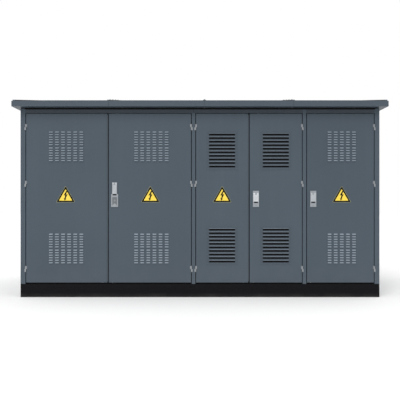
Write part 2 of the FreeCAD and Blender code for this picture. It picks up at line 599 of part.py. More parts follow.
# ---------------------------------------------------------------- door leaves
def hood_features(body, label, x, z, width, high, out):
    """One pressed louvre, its hood open at the bottom, as a pad and a slot."""
    face = "-leaf_t"
    top = "%s+%s" % (z, high)
    hood = [(face + "+sink", z), (face + "+sink", top), (face, top), ("%s-%s" % (face, out), z)]
    mouth = "%s-%s+hood_t" % (face, out)
    inside = [(face + "+sheet_t+over", z + "-over"), (mouth, z + "-over"), (mouth, z + "+hood_lip"),
              (face, top + "-hood_root"), (face + "+sheet_t+over", top + "-hood_root")]
    hood_pad = pad(body, label + "_hood", sketch(body, label + "_hood_side", "YZ_Plane", hood, x), width)
    slot = pocket(body, label + "_slot", sketch(body, label + "_slot_side", "YZ_Plane", inside,
                                                "(%s)+hood_t" % x), "(%s)-2*hood_t" % width)
    return [hood_pad, slot]


def leaf_tray(label, width):
    body = body_of(label + "_tray")
    whole = sketch(body, label + "_edge", "XZ_Plane", rectangle("0", "0", width, "door_high"))
    pad(body, label + "_block", whole, "leaf_t")
    cavity = rectangle("sheet_t", "sheet_t", width + "-sheet_t", "door_high-sheet_t")
    pocket(body, label + "_cavity", sketch(body, label + "_inside", "XZ_Plane", cavity, "sheet_t"),
           "leaf_t-2*sheet_t")
    opening = rectangle("lip_w", "lip_w", width + "-lip_w", "door_high-lip_w")
    pocket(body, label + "_back", sketch(body, label + "_opening", "XZ_Plane", opening), "sheet_t")
    return body


def leaf(number_of, width, x0, rises, drops, slit_x=None, columns=None, lock=None):
    """A folded sheet door leaf: tray with returned lips, louvres or windows, stays and guides."""
    label = "door_%d" % number_of
    body = leaf_tray(label, width)
    if slit_x:
        pair = hood_features(body, label, slit_x, "slit_base", "slit_w", "slit_high", "hood_out")
        steps = [("X_Axis", "slit_pitch_x*(%s-1)" % columns, columns),
                 ("Z_Axis", "slit_pitch_z*(slit_rows-1)", "slit_rows"),
                 ("Z_Axis", "slit_band", "2"), ("Z_Axis", "slit_field", "2")]
        pattern(body, label + "_louvres", pair, steps)
    else:
        for i, z in enumerate(("grille_low", "grille_high_z")):
            hole = rectangle(width + "/2-blade_w/2", z + "+grille_edge",
                             width + "/2+blade_w/2", z + "+grille_high-grille_edge")
            outline = sketch(body, "%s_hole_%d" % (label, i), "XZ_Plane", hole)
            pocket(body, "%s_window_%d" % (label, i), outline, "2*leaf_t")
    place(body, (x0, "leaf_back", "leaf_z"))
    tools = []
    for i, (x, z) in enumerate([(x, "door_top") for x in rises] + [(x, "leaf_z") for x in drops]):
        tools.append(rod("%s_drill_%d" % (label, i), "rod_r+rod_fit", "6*sheet_t",
                         (x, "rod_y", z + "-3*sheet_t")))
    if lock:
        tools.append(rod(label + "_lock_drill", "spindle_r+drill_room", "4*sheet_t",
                         (lock[0], "-body_y-2*sheet_t", lock[1]), "y"))
    pieces = [cut(label + "_drilled", body, tools)]
    for i, z in enumerate(("slit_base/2", "door_high-slit_base/2")):
        pieces.append(box("%s_stay_%d" % (label, i),
                          (width + "-2*sheet_t-2*stay_room", "stay_t", "frame_leg"),
                          (x0 + "+sheet_t+stay_room", "-body_y+sheet_t", "leaf_z+" + z)))
    if not lock:
        for i, z in enumerate(("leaf_z+bolt_len-guide_high", "door_top-bolt_len")):
            deep = "rod_y+rod_r+guide_wall+body_y-sheet_t"
            block = box("%s_guide_%d" % (label, i), ("guide_w", deep, "guide_high"),
                        (rises[0] + "-guide_w/2", "-body_y+sheet_t", z))
            bore = rod("%s_guide_bore_%d" % (label, i), "rod_r+rod_fit", "3*guide_high",
                       (rises[0], "rod_y", z + "-guide_high"))
            pieces.append(cut("%s_guide_cut_%d" % (label, i), block, [bore]))
    return group("%s_leaf" % label, pieces)


def grille_panels(number_of, width, x0):
    """Two louvre plates over the windows of one leaf."""
    label = "door_%d_grilles" % number_of
    return group(label, [louvre_plate("%s_%d" % (label, i),
                                      ("%s+%s/2-grille_w/2" % (x0, width), "-body_y", "leaf_z+" + z))
                         for i, z in enumerate(("grille_low", "grille_high_z"))])


# ---------------------------------------------------------------- hinges
HINGE_HEIGHTS = ["hinge_z1", "hinge_z2", "hinge_z3"]
HINGE_LINES = [
    ("1", "leaf_x1-hinge_gap/2", -1), ("2", "post_xa-hinge_gap/2", 1), ("3", "leaf_x3-hinge_gap/2", -1),
    ("4", "post_xb-hinge_gap/2", 1), ("5", "leaf_x5+leaf_w5+hinge_gap/2", 1),
]


def hinge_half(label, axis_x, z, side, upper):
    """One half of a surface hinge: a flat wing and its knuckle. side is where the wing lies."""
    half_high = "hinge_high/2-knuckle_gap/2"
    low = "leaf_z+" + z
    start = low + ("+hinge_high/2+knuckle_gap/2" if upper else "")
    wing = box(label + "_wing", ("hinge_leaf", "hinge_t", half_high),
               (axis_x + ("" if side > 0 else "-hinge_leaf"), "-body_y-hinge_t", start))
    knuckle = rod(label + "_barrel", "knuckle_r", half_high, (axis_x, "hinge_y", start))
    if upper:
        bore = rod(label + "_bore", "pin_r+fit_gap", "hinge_high+4*over",
                   (axis_x, "hinge_y", low + "-2*over"))
        return cut(label, fuse(label + "_solid", [wing, knuckle]), [bore])
    pin = rod(label + "_pin", "pin_r", "hinge_high+pin_out", (axis_x, "hinge_y", low))
    return fuse(label, [wing, knuckle, pin])


def moving_hinges(number_of, axis_x, post_side):
    halves = [hinge_half("door_%s_knuckle_%d" % (number_of, i), axis_x, z, -post_side, True)
              for i, z in enumerate(HINGE_HEIGHTS)]
    return group("door_%s_hinge_halves" % number_of, halves)


def fixed_hinges():
    halves = []
    for number_of, axis_x, post_side in HINGE_LINES:
        for i, z in enumerate(HINGE_HEIGHTS):
            halves.append(hinge_half("post_%s_knuckle_%d" % (number_of, i), axis_x, z, post_side, False))
    return group("fixed_hinge_halves", halves)


# ---------------------------------------------------------------- locks
def finger_case(label, x, blocks, pivot_z, tip_z, key_z, dish=None):
    """The fixed case of a lock: plates, spindle bore, finger pocket and key cylinder."""
    plates = [box("%s_plate_%d" % (label, i), (wide, "lock_t", high),
                  (x + "-%s/2" % wide, "-body_y-lock_t", z)) for i, (wide, high, z) in enumerate(blocks)]
    whole = plates[0] if len(plates) == 1 else fuse(label + "_plates", plates)
    tools = [
        rod(label + "_bore", "spindle_r+fit_gap", "3*lock_t", (x, "-body_y-2*lock_t", pivot_z), "y"),
        box(label + "_finger", ("pocket_w", "pocket_deep", "pocket_high"),
            (x + "-pocket_w/2", "-body_y-lock_t", tip_z + "-pocket_high+pocket_rise")),
    ]
    if dish:
        tools.append(box(label + "_recess", ("dish_w-2*dish_rim", "dish_deep", dish),
                         (x + "-dish_w/2+dish_rim", "-body_y-lock_t", "lock_z+dish_rim")))
    key = rod(label + "_key", "key_r", "key_out+dish_deep", (x, "-body_y-lock_t-key_out", key_z), "y")
    body = cut(label + "_body", whole, tools)
    return fuse("%s_case" % label, [body, key])


def spindle(label, x, pivot_z, lever_w):
    """Shaft, fork tongue with its cross pin, and the cam with two crank pins behind the leaf skin."""
    shaft = rod(label + "_shaft", "spindle_r", "cam_y+cam_t-lever_y+sink", (x, "lever_y-sink", pivot_z), "y")
    tongue = box(label + "_tongue", ("tongue_w", "lever_t", "tongue_high"),
                 (x + "-tongue_w/2", "lever_y-lever_t", pivot_z + "-tongue_high/2"))
    cam = rod(label + "_cam", "cam_r", "cam_t", (x, "cam_y", pivot_z), "y")
    near = rod(label + "_crank_near", "crank_pin_r", "eye_y1+eye_t-cam_y+eye_gap/2",
               (x + "+crank_r", "cam_y", pivot_z), "y")
    far = rod(label + "_crank_far", "crank_pin_r", "eye_y2+eye_t-cam_y+eye_gap/2",
              (x + "-crank_r", "cam_y", pivot_z), "y")
    cross = rod(label + "_cross", "cross_r", lever_w + "-2*cross_inset",
                (x + "-%s/2+cross_inset" % lever_w, "lever_y-lever_t/2", pivot_z), "x")
    return fuse(label + "_spindle", [shaft, tongue, cam, near, far, cross])


def lever(label, x, pivot_z, lever_w, lever_len):
    """The flip-out lever: a flat bar with a round top, forked round the spindle's tongue."""
    bar = box(label + "_bar", (lever_w, "lever_t", lever_len + "-lever_t/2"),
              (x + "-%s/2" % lever_w, "lever_y-lever_t", pivot_z + "+lever_t/2-" + lever_len))
    nose = rod(label + "_nose", "lever_t/2", lever_w,
               (x + "-%s/2" % lever_w, "lever_y-lever_t/2", pivot_z), "x")
    fork = box(label + "_fork", ("tongue_w+2*tongue_gap", "3*lever_t", "3*tongue_high"),
               (x + "-tongue_w/2-tongue_gap", "lever_y-2*lever_t", pivot_z + "-tongue_high"))
    bore = rod(label + "_cross_bore", "cross_r+fit_gap", lever_w + "-2*cross_inset+2*cross_room",
               (x + "-%s/2+cross_inset-cross_room" % lever_w, "lever_y-lever_t/2", pivot_z), "x")
    return cut(label + "_lever", fuse(label + "_lever_bar", [bar, nose]), [fork, bore])


def lock_rod(label, x, pivot_z, upper):
    """A round rod with a slotted eye that rides on its crank pin, up or down to the fold."""
    sign = "+" if upper else "-"
    rod_x = x + sign + "crank_r"
    play = "(crank_pin_r+eye_play)"
    far_x, near_x = "(crank_r+%s)" % play, play
    long_z, short_z = "(eye_rise+%s)" % play, play
    rim = "eye_rim"
    left, right = (far_x, near_x) if upper else (near_x, far_x)
    below, above = (short_z, long_z) if upper else (long_z, short_z)
    y = "eye_y1" if upper else "eye_y2"
    plate = box(label + "_plate",
                ("%s+%s+2*%s" % (left, right, rim), "eye_t", "%s+%s+2*%s" % (below, above, rim)),
                ("%s-%s-%s" % (rod_x, left, rim), y, "%s-%s-%s" % (pivot_z, below, rim)))
    slot = box(label + "_slot", ("%s+%s" % (left, right), "3*eye_t", "%s+%s" % (below, above)),
               ("%s-%s" % (rod_x, left), y + "-eye_t", "%s-%s" % (pivot_z, below)))
    if upper:
        low, high = "%s+%s" % (pivot_z, above), "door_top+rod_tip"
    else:
        low, high = "leaf_z-rod_tip", "%s-%s" % (pivot_z, below)
    bar = rod(label + "_bar", "rod_r", "(%s)-(%s)" % (high, low), (rod_x, "rod_y", low))
    return fuse(label, [cut(label + "_eye", plate, [slot]), bar])


def flush_bolt(label, x, upper):
    """A sliding bolt of a passive leaf with its finger knob."""
    low = "door_top+rod_tip-bolt_len" if upper else "leaf_z-rod_tip"
    knob_z = "door_top-bolt_knob" if upper else "leaf_z+bolt_knob"
    bar = rod(label + "_bar", "rod_r", "bolt_len", (x, "rod_y", low))
    knob = rod(label + "_knob", "knob_r", "knob_len", (x, "rod_y", knob_z), "y")
    return fuse(label, [bar, knob])


def sign(number_of, x):
    """A triangular sheet sign on the leaf."""
    outline = [("-sign_side/2", "0"), ("sign_side/2", "0"), ("0", "sign_side*sign_ratio")]
    return prism("door_%d_sign" % number_of, "XZ_Plane", outline, "sign_t",
                 (x, "-body_y", "leaf_z+sign_base"))


# ---------------------------------------------------------------- transformer
def transformer_tank():
    """Tank with cooling fins, lid and skids."""
    tank = box("tank", ("tank_len", "tank_dep", "tank_high"), ("mid_x-tank_len/2", "-tank_dep/2", "tank_z"))
    pieces = [tank]
    for i in range(int(number("fin_count"))):
        x = "mid_x+fin_pitch*(%d-(fin_count-1)/2)-fin_t/2" % i
        pieces.append(box("fin_%d" % i, ("fin_t", "tank_dep+2*fin_out", "fin_high"),
                          (x, "-tank_dep/2-fin_out", "tank_z+fin_low")))
    lid = box("lid", ("tank_len+2*lid_over", "tank_dep+2*lid_over", "lid_t"),
              ("mid_x-tank_len/2-lid_over", "-tank_dep/2-lid_over", "lid_z"))
    pieces.append(lid)
    for i, y in enumerate(("-tank_dep/2+skid_inset", "tank_dep/2-skid_inset-skid_w")):
        pieces.append(box("skid_%d" % i, ("tank_len+2*lid_over", "skid_w", "skid_high"),
                          ("mid_x-tank_len/2-lid_over", y, "base_high")))
    bore = rod("tap_bore", "tap_stem_r+fit_gap", "2*tap_stem", ("mid_x", "0", "lid_top-tap_stem"))
    return cut("transformer_tank", fuse("tank_raw", pieces), [bore])


def hv_bushings():
    pieces = []
    for i, y in enumerate(HV_ROWS):
        at = ("mid_x+tank_len/2-hv_inset", y)
        parts = [rod("hv_core_%d" % i, "bushing_r", "bushing_high", at + ("lid_top",))]
        for j in range(5):
            parts.append(cone("hv_shed_%d_%d" % (i, j), "shed_r", "bushing_r", "bushing_high/8",
                              at + ("lid_top+bushing_high*%d/6" % (j + 1),)))
        pieces.append(fuse("hv_bushing_%d" % i, parts))
    return group("hv_bushings", pieces)


def lv_bushings():
    pieces = [rod("lv_bushing_%d" % i, "lv_r", "lv_high", ("mid_x-tank_len/2+lv_inset", y, "lid_top"))
              for i, y in enumerate(LV_ROWS)]
    return group("lv_bushings", pieces)


def busbars():
    """Flat bars from the low-voltage studs through the wall to the side of the switchboard."""
    pieces = []
    stud_x = "mid_x-tank_len/2+lv_inset"
    for i, y in enumerate(LV_ROWS):
        stud = rod("lv_stud_%d" % i, "stud_r", "stud_high+bar_t/2", (stud_x, y, "lid_top+lv_high"))
        length = "(%s)+bar_w/2-(board_x+board_w)-fit_room" % stud_x
        bar = box("bar_%d" % i, (length, "bar_w", "bar_t"),
                  ("board_x+board_w+fit_room", y + "-bar_w/2", "bar_z"))
        pieces.append(fuse("busbar_%d" % i, [stud, bar]))
    return group("busbars", pieces)


def hv_cables():
    """Lugs on the bushings and the cables that bend over to the side of the ring-main unit."""
    pieces = []
    x = "mid_x+tank_len/2-hv_inset"
    foot = "lid_top+bushing_high"
    arc_turn = App.Rotation(App.Vector(1, 0, 0), 90).multiply(App.Rotation(App.Vector(0, 0, 1), 90))
    for i, y in enumerate(HV_ROWS):
        lug = rod("hv_lug_%d" % i, "lug_r", "lug_high", (x, y, foot))
        rise = rod("hv_rise_%d" % i, "cable_r", "cable_rise", (x, y, foot + "+lug_high"))
        bend = add("Part::Torus", "hv_bend_%d" % i)
        bind(bend, "Radius1", "cable_bend")
        bind(bend, "Radius2", "cable_r")
        bend.Angle3 = 90
        place(bend, (x + "+cable_bend", y, "cable_z-cable_bend"), arc_turn)
        run = rod("hv_run_%d" % i, "cable_r", "rmu_x-fit_room-(%s)-cable_bend" % x,
                  (x + "+cable_bend", y, "cable_z"), "x")
        pieces.append(fuse("hv_cable_%d" % i, [lug, rise, bend, run]))
    return group("hv_cables", pieces)


def grip(label, x, front_y, z):
    """A rotary grip: stem, disc and bar, turning in a bore of what it switches."""
    stem = rod(label + "_stem", "grip_stem_r", "grip_stem+grip_gap+sink",
               (x, front_y + "-grip_gap-sink", z), "y")
    disc = rod(label + "_disc", "grip_r", "grip_t", (x, front_y + "-grip_gap-grip_t", z), "y")
    bar = box(label + "_bar", ("grip_bar_w", "grip_bar_t+sink", "2*grip_r"),
              (x + "-grip_bar_w/2", front_y + "-grip_gap-grip_t-grip_bar_t", z + "-grip_r"))
    return fuse(label, [stem, disc, bar])


def grip_bore(label, x, front_y, z):
    return rod(label, "grip_stem_r+fit_gap", "2*grip_stem+2*over", (x, front_y + "-grip_stem", z), "y")


def tap_knob():
    stem = rod("tap_stem_rod", "tap_stem_r", "tap_stem+tap_rise", ("mid_x", "0", "lid_top-tap_stem+sink"))
    knob = rod("tap_disc", "tap_r", "tap_high", ("mid_x", "0", "lid_top+tap_rise"))
    return fuse("tap_changer_knob", [stem, knob])


# ---------------------------------------------------------------- switchgear
def cabinet(label, x, y, size, gland_y, gland_w):
    """The panels of a sheet cabinet, its front plate set back and its bottom open over the floor opening."""
    wide, deep, high = size
    inner_w = wide + "-2*board_t"
    inner_x = x + "+board_t"
    top_z = "board_z+%s-board_t" % high
    bottom = box(label + "_bottom", (inner_w, deep, "board_t"), (inner_x, y, "board_z"))
    gland = box(label + "_gland", (gland_w, "cable_hole", "5*board_t"),
                (x + "+(%s-(%s))/2" % (wide, gland_w), gland_y, "board_z-2*board_t"))
    back_y = "%s+%s-board_t" % (y, deep)
    inner_high = high + "-2*board_t"
    return [
        box(label + "_left", ("board_t", deep, high), (x, y, "board_z")),
        box(label + "_right", ("board_t", deep, high), (x + "+%s-board_t" % wide, y, "board_z")),
        box(label + "_top", (inner_w, deep, "board_t"), (inner_x, y, top_z)),
        cut(label + "_bottom_cut", bottom, [gland]),
        box(label + "_back", (inner_w, "board_t", inner_high), (inner_x, back_y, "board_z+board_t")),
        box(label + "_front", (inner_w, "board_t", inner_high),
            (inner_x, y + "+board_inset", "board_z+board_t")),
    ]


BREAKER_FRONT = "(-board_front+board_inset-breaker_t)"
MECH_FRONT = "(-rmu_front+board_inset-mech_t)"


def lv_board():
    return group("lv_board", cabinet("board", "board_x", "-board_front",
                                     ("board_w", "board_dep", "board_high"),
                                     "-board_front+cable_back", "board_w-2*gland_side"))


def lv_breakers():
    """The main breaker and the row of feeder breakers, on the board's front plate."""
    z = "board_z+breaker_z"
    main = box("main_block", ("breaker_w", "breaker_t", "breaker_high"),
               ("lv_x-breaker_w/2", BREAKER_FRONT, z))
    bore = grip_bore("main_bore", "lv_x", BREAKER_FRONT, z + "+breaker_high/2")
    pieces = [cut("main_breaker", main, [bore])]
    for i in range(5):
        pieces.append(box("feeder_%d" % i, ("feeder_w", "breaker_t", "feeder_high"),
                          ("lv_x+feeder_pitch*(%d-2)-feeder_w/2" % i, BREAKER_FRONT, "board_z+feeder_z")))
    return group("lv_breakers", pieces)


def rmu_cabinet():
    """The ring-main unit: its cabinet and the block of its switch mechanism."""
    panels = cabinet("rmu", "rmu_x", "-rmu_front", ("rmu_w", "rmu_dep", "rmu_high"), "-rmu_front+cable_back",
                     "rmu_w-2*gland_side")
    mech = box("mech_block", ("mech_w", "mech_t", "mech_high"),
               ("hv_x-mech_w/2", MECH_FRONT, "board_z+mech_z"))
    bore = grip_bore("mech_bore", "hv_x", MECH_FRONT, "board_z+mech_z+mech_high/2")
    return group("rmu_cabinet", panels + [cut("mech_bored", mech, [bore])])


# ---------------------------------------------------------------- the whole
nodes = [
    base_beams(), floor_plates(), frame_posts(), header_panels(), top_rails(), door_seals(),
    end_panels(), rear_panels(), partition_walls(), roof_sheets(), roof_ribs(), roof_rafters(),
    roof_trim(), fixed_hinges(), transformer_tank(), hv_bushings(), lv_bushings(), tap_knob(),
    busbars(), hv_cables(), lv_board(), lv_breakers(), rmu_cabinet(),
    grip("lv_breaker_grip", "lv_x", BREAKER_FRONT, "board_z+breaker_z+breaker_high/2"),
    grip("rmu_grip", "hv_x", MECH_FRONT, "board_z+mech_z+mech_high/2"),
]
nodes.append(leaf(1, "leaf_w1", "leaf_x1", ["bolt_x1"], ["bolt_x1"], "slit_x1", "slit_cols"))
nodes.append(leaf(2, "leaf_w2", "leaf_x2", ["lock_x2+crank_r"], ["lock_x2-crank_r"], "slit_x2", "slit_cols",
                  ("lock_x2", "pivot_a")))
nodes.append(leaf(3, "leaf_w3", "leaf_x3", ["bolt_x3"], ["bolt_x3"]))
nodes.append(leaf(4, "leaf_w4", "leaf_x4", ["lock_x4+crank_r"], ["lock_x4-crank_r"], None, None,
                  ("lock_x4", "pivot_b")))
nodes.append(leaf(5, "leaf_w5", "leaf_x5", ["lock_x5+crank_r"], ["lock_x5-crank_r"], "slit_x5",
                  "slit_cols_end", ("lock_x5", "pivot_b")))
nodes.append(grille_panels(3, "leaf_w3", "leaf_x3"))
nodes.append(grille_panels(4, "leaf_w4", "leaf_x4"))
for number_of, axis_x, post_side in HINGE_LINES:
    nodes.append(moving_hinges(number_of, axis_x, post_side))
for number_of in (1, 2, 3, 5):
    nodes.append(sign(number_of, "leaf_x%d+leaf_w%d/2+sign_dx%d" % (number_of, number_of, number_of)))

LONG_TIP = "pivot_a+lever_t/2-long_lever_len"
SHORT_TIP = "pivot_b+lever_t/2-lever_len"
nodes.append(finger_case("door_2_lock", "lock_x2",
                         [("dish_w", "dish_high", "lock_z"),
                          ("long_w", "long_high-dish_high+sink", "lock_z+dish_high-sink")],
                         "pivot_a", LONG_TIP, "lock_z+dish_high/2", "dish_high-2*dish_rim-pocket_high"))
nodes.append(spindle("door_2", "lock_x2", "pivot_a", "long_lever_w"))
nodes.append(lever("door_2", "lock_x2", "pivot_a", "long_lever_w", "long_lever_len"))
for number_of in (4, 5):
    name = "door_%d" % number_of
    lock_x = "lock_x%d" % number_of
    nodes.append(finger_case(name + "_lock", lock_x, [("lock_w", "lock_high", "lock_z")], "pivot_b",
                             SHORT_TIP, "lock_z+key_r+key_rise"))
    nodes.append(spindle(name, lock_x, "pivot_b", "lever_w"))
    nodes.append(lever(name, lock_x, "pivot_b", "lever_w", "lever_len"))
for number_of, pivot_z in ((2, "pivot_a"), (4, "pivot_b"), (5, "pivot_b")):
    lock_x = "lock_x%d" % number_of
    nodes.append(lock_rod("door_%d_rod_upper" % number_of, lock_x, pivot_z, True))
    nodes.append(lock_rod("door_%d_rod_lower" % number_of, lock_x, pivot_z, False))
for number_of in (1, 3):
    bolt_x = "bolt_x%d" % number_of
    nodes.append(flush_bolt("door_%d_bolt_upper" % number_of, bolt_x, True))
    nodes.append(flush_bolt("door_%d_bolt_lower" % number_of, bolt_x, False))

doc.recompute()
os.makedirs("parts", exist_ok=True)
for item in doc.Objects:
    if "Invalid" in item.State or "Error" in item.State:
        raise RuntimeError("%s is %s" % (item.Label, item.State))
for node in nodes:
    if node.Shape.isNull() or not node.Shape.isValid():
        raise RuntimeError("%s has no good shape" % node.Label)
    node.Shape.exportStep("parts/%s.step" % node.Label)
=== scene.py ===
import math

import bmesh
import bpy
from mathutils import Matrix, Vector


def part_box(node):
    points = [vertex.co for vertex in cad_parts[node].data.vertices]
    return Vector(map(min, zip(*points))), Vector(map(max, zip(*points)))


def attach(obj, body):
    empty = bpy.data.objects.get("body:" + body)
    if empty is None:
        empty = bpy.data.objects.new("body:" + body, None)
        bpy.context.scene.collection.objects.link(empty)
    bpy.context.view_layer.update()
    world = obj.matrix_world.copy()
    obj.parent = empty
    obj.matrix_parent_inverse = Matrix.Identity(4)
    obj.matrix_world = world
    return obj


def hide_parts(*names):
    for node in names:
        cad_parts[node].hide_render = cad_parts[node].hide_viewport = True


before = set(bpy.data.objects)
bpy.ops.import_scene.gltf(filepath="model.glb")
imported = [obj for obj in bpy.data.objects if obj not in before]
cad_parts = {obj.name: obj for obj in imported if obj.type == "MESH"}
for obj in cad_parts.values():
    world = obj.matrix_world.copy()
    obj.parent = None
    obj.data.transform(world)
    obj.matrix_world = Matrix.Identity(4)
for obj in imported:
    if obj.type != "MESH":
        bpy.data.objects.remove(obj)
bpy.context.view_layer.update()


# The viewpoint: square on to the doors, near half the height of the station and about eight
# metres in front of it, through a long lens that keeps the corners upright.
EYE_DISTANCE = 9.1
EYE_HEIGHT = 1.0825
LENS_MM = 64.6
SENSOR_MM = 36.0
FAR_CLIP = 200.0
eye = bpy.data.cameras.new("front_view")
eye.lens = LENS_MM
eye.sensor_width = SENSOR_MM
eye.clip_end = FAR_CLIP
viewpoint = bpy.data.objects.new("front_view", eye)
viewpoint.location = (0.0, -EYE_DISTANCE, EYE_HEIGHT)
viewpoint.rotation_euler = (math.radians(90), 0.0, 0.0)
bpy.context.scene.collection.objects.link(viewpoint)
bpy.context.scene.camera = viewpoint
bpy.context.scene.view_settings.view_transform = "Standard"


# The yard the station stands on and the light over it: a pale smooth concrete apron, an
# overcast sky, a soft light from halfway up on the front left and a broad one overhead.
def node(tree, kind, inputs=None, **settings):
    """Add a shader node; an input given as a socket is linked, anything else is set."""
    made = tree.nodes.new("ShaderNode" + kind)
    for name, value in settings.items():
        setattr(made, name, value)
    for name, value in (inputs or {}).items():
        if isinstance(value, bpy.types.NodeSocket):
            tree.links.new(value, made.inputs[name])
        else:
            made.inputs[name].default_value = value
    return made


def noise(tree, scale, detail=3.0, stretch=(1.0, 1.0, 1.0), rough=0.5):
    """Noise in metres over the part, stretched along the axes where a grain is wanted."""
    place = node(tree, "TexCoord").outputs["Object"]
    spread_out = node(tree, "Mapping", {"Vector": place, "Scale": stretch})
    cloud = node(tree, "TexNoise", {"Vector": spread_out.outputs[0], "Scale": scale,
                                    "Detail": detail, "Roughness": rough})
    return cloud.outputs[0]


def remap(tree, value, low, high, to_low, to_high):
    """Carry a value from one range to another, stopping at the ends."""
    return node(tree, "MapRange", {"Value": value, "From Min": low, "From Max": high,
                                   "To Min": to_low, "To Max": to_high}).outputs[0]


def patches(tree, scale, detail=3.0):
    """A share that runs from none to all over soft-edged patches."""
    return remap(tree, noise(tree, scale, detail), 0.35, 0.7, 0.0, 1.0)


def reckon(tree, work, first, second):
    """One sum on two values."""
    return node(tree, "Math", {0: first, 1: second}, operation=work).outputs[0]


def mix(tree, share, first, second):
    """Mix two colours by a share; a colour is three numbers or a socket."""
    first, second = [c if isinstance(c, bpy.types.NodeSocket) else (*c, 1.0)
                     for c in (first, second)]
    return node(tree, "Mix", {0: share, 6: first, 7: second}, data_type="RGBA").outputs[2]


def bump(tree, height, depth, strength, under=None):
    """Relief of a real depth in metres, over another relief if one is given."""
    inputs = {"Height": height, "Distance": depth, "Strength": strength}
    if under is not None:
        inputs["Normal"] = under
    return node(tree, "Bump", inputs).outputs[0]


def finish(name, metallic=0.0, shine=0.5):
    """A new finish, as its material, its node tree and its shader."""
    made = bpy.data.materials.new(name)
    made.use_nodes = True
    shader = made.node_tree.nodes["Principled BSDF"]
    shader.inputs["Metallic"].default_value = metallic
    shader.inputs["Specular IOR Level"].default_value = shine
    return made, made.node_tree, shader


def feed(tree, shader, colour=None, roughness=None, normal=None):
    """Link what varies over the surface to the shader."""
    for name, socket in (("Base Color", colour), ("Roughness", roughness), ("Normal", normal)):
        if socket is not None:
            tree.links.new(socket, shader.inputs[name])


APRON_SIDE = 90.0
apron_paint, tree, shader = finish("pale_apron")
feed(tree, shader,
     mix(tree, noise(tree, 0.6), (0.94, 0.94, 0.94), (0.96, 0.96, 0.955)),
     remap(tree, noise(tree, 25.0), 0.3, 0.7, 0.75, 0.9))
apron_mesh = bmesh.new()
bmesh.ops.create_grid(apron_mesh, x_segments=8, y_segments=8, size=APRON_SIDE / 2)
apron_data = bpy.data.meshes.new("apron")
apron_mesh.to_mesh(apron_data)
apron_mesh.free()
apron_data.materials.append(apron_paint)
apron = bpy.data.objects.new("apron", apron_data)
bpy.context.scene.collection.objects.link(apron)

SKY_STRENGTH = 0.60
sky = bpy.data.worlds.new("overcast")
sky.use_nodes = True
tree = sky.node_tree
seen = node(tree, "LightPath").outputs["Is Camera Ray"]
glow = tree.nodes["Background"]
glow.inputs["Color"].default_value = (1.0, 1.0, 1.0, 1.0)
tree.links.new(remap(tree, seen, 0.0, 1.0, SKY_STRENGTH, 1.0), glow.inputs["Strength"])
bpy.context.scene.world = sky


def soft_light(name, energy, spread, tilt, turn):
    """A broad distant light: tilt from straight down, then turned about the vertical."""
    lamp = bpy.data.lights.new(name, "SUN")
    lamp.energy = energy
    lamp.angle = math.radians(spread)
    holder = bpy.data.objects.new(name, lamp)
    holder.rotation_euler = (math.radians(tilt), 0.0, math.radians(turn))
    bpy.context.scene.collection.objects.link(holder)


soft_light("main_light", energy=1.47, spread=34.0, tilt=48.0, turn=-14.0)
soft_light("overhead_light", energy=0.9, spread=60.0, tilt=0.0, turn=0.0)


# The base frame: rolled channels welded into a ring with cross members, black bitumen
# paint over the steel, dusty along the bottom where rain throws up dirt.
def paint(material, *names):
    """Give CAD pieces their finish."""
    for name in names:
        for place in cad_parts[name].material_slots:
            place.link = "OBJECT"
            place.material = material


def soften(width, *names):
    """Round the outer edges of CAD pieces by a real radius, in metres."""
    for name in names:
        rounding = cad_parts[name].modifiers.new("soft_edges", "BEVEL")
        rounding.width = width
        rounding.segments = 2
        rounding.limit_method = "ANGLE"
        rounding.angle_limit = math.radians(40)
        rounding.harden_normals = False


def dust_share(tree, low_z, high_z, on_top):
    """How dusty a spot is: more near the ground, more on faces that look up."""
    place = node(tree, "SeparateXYZ", {0: node(tree, "TexCoord").outputs["Object"]})
    low = remap(tree, place.outputs[2], low_z, high_z, 1.0, 0.0)
    facing = node(tree, "SeparateXYZ", {0: node(tree, "NewGeometry").outputs["Normal"]})
    top = remap(tree, facing.outputs[2], 0.6, 1.0, 0.0, on_top)
    patch = remap(tree, noise(tree, 7.0, 5.0), 0.3, 0.75, 0.2, 1.0)
    return reckon(tree, "MULTIPLY", patch, reckon(tree, "MAXIMUM", low, top))


DUST = (0.30, 0.285, 0.26)
base_paint, tree, shader = finish("black_bitumen_paint", shine=0.10)
flecks = remap(tree, noise(tree, 60.0, 5.0), 0.4, 0.7, 0.0, 1.0)
black = mix(tree, flecks, (0.003, 0.003, 0.004), (0.007, 0.007, 0.009))
dirt = reckon(tree, "MULTIPLY", dust_share(tree, 0.0, 0.05, 0.5), 0.10)
feed(tree, shader, mix(tree, dirt, black, DUST),
     remap(tree, noise(tree, 40.0, 4.0), 0.3, 0.7, 0.42, 0.62),
     bump(tree, noise(tree, 220.0, 4.0), 0.0006, 0.35))
paint(base_paint, "base_beams")
soften(0.002, "base_beams")


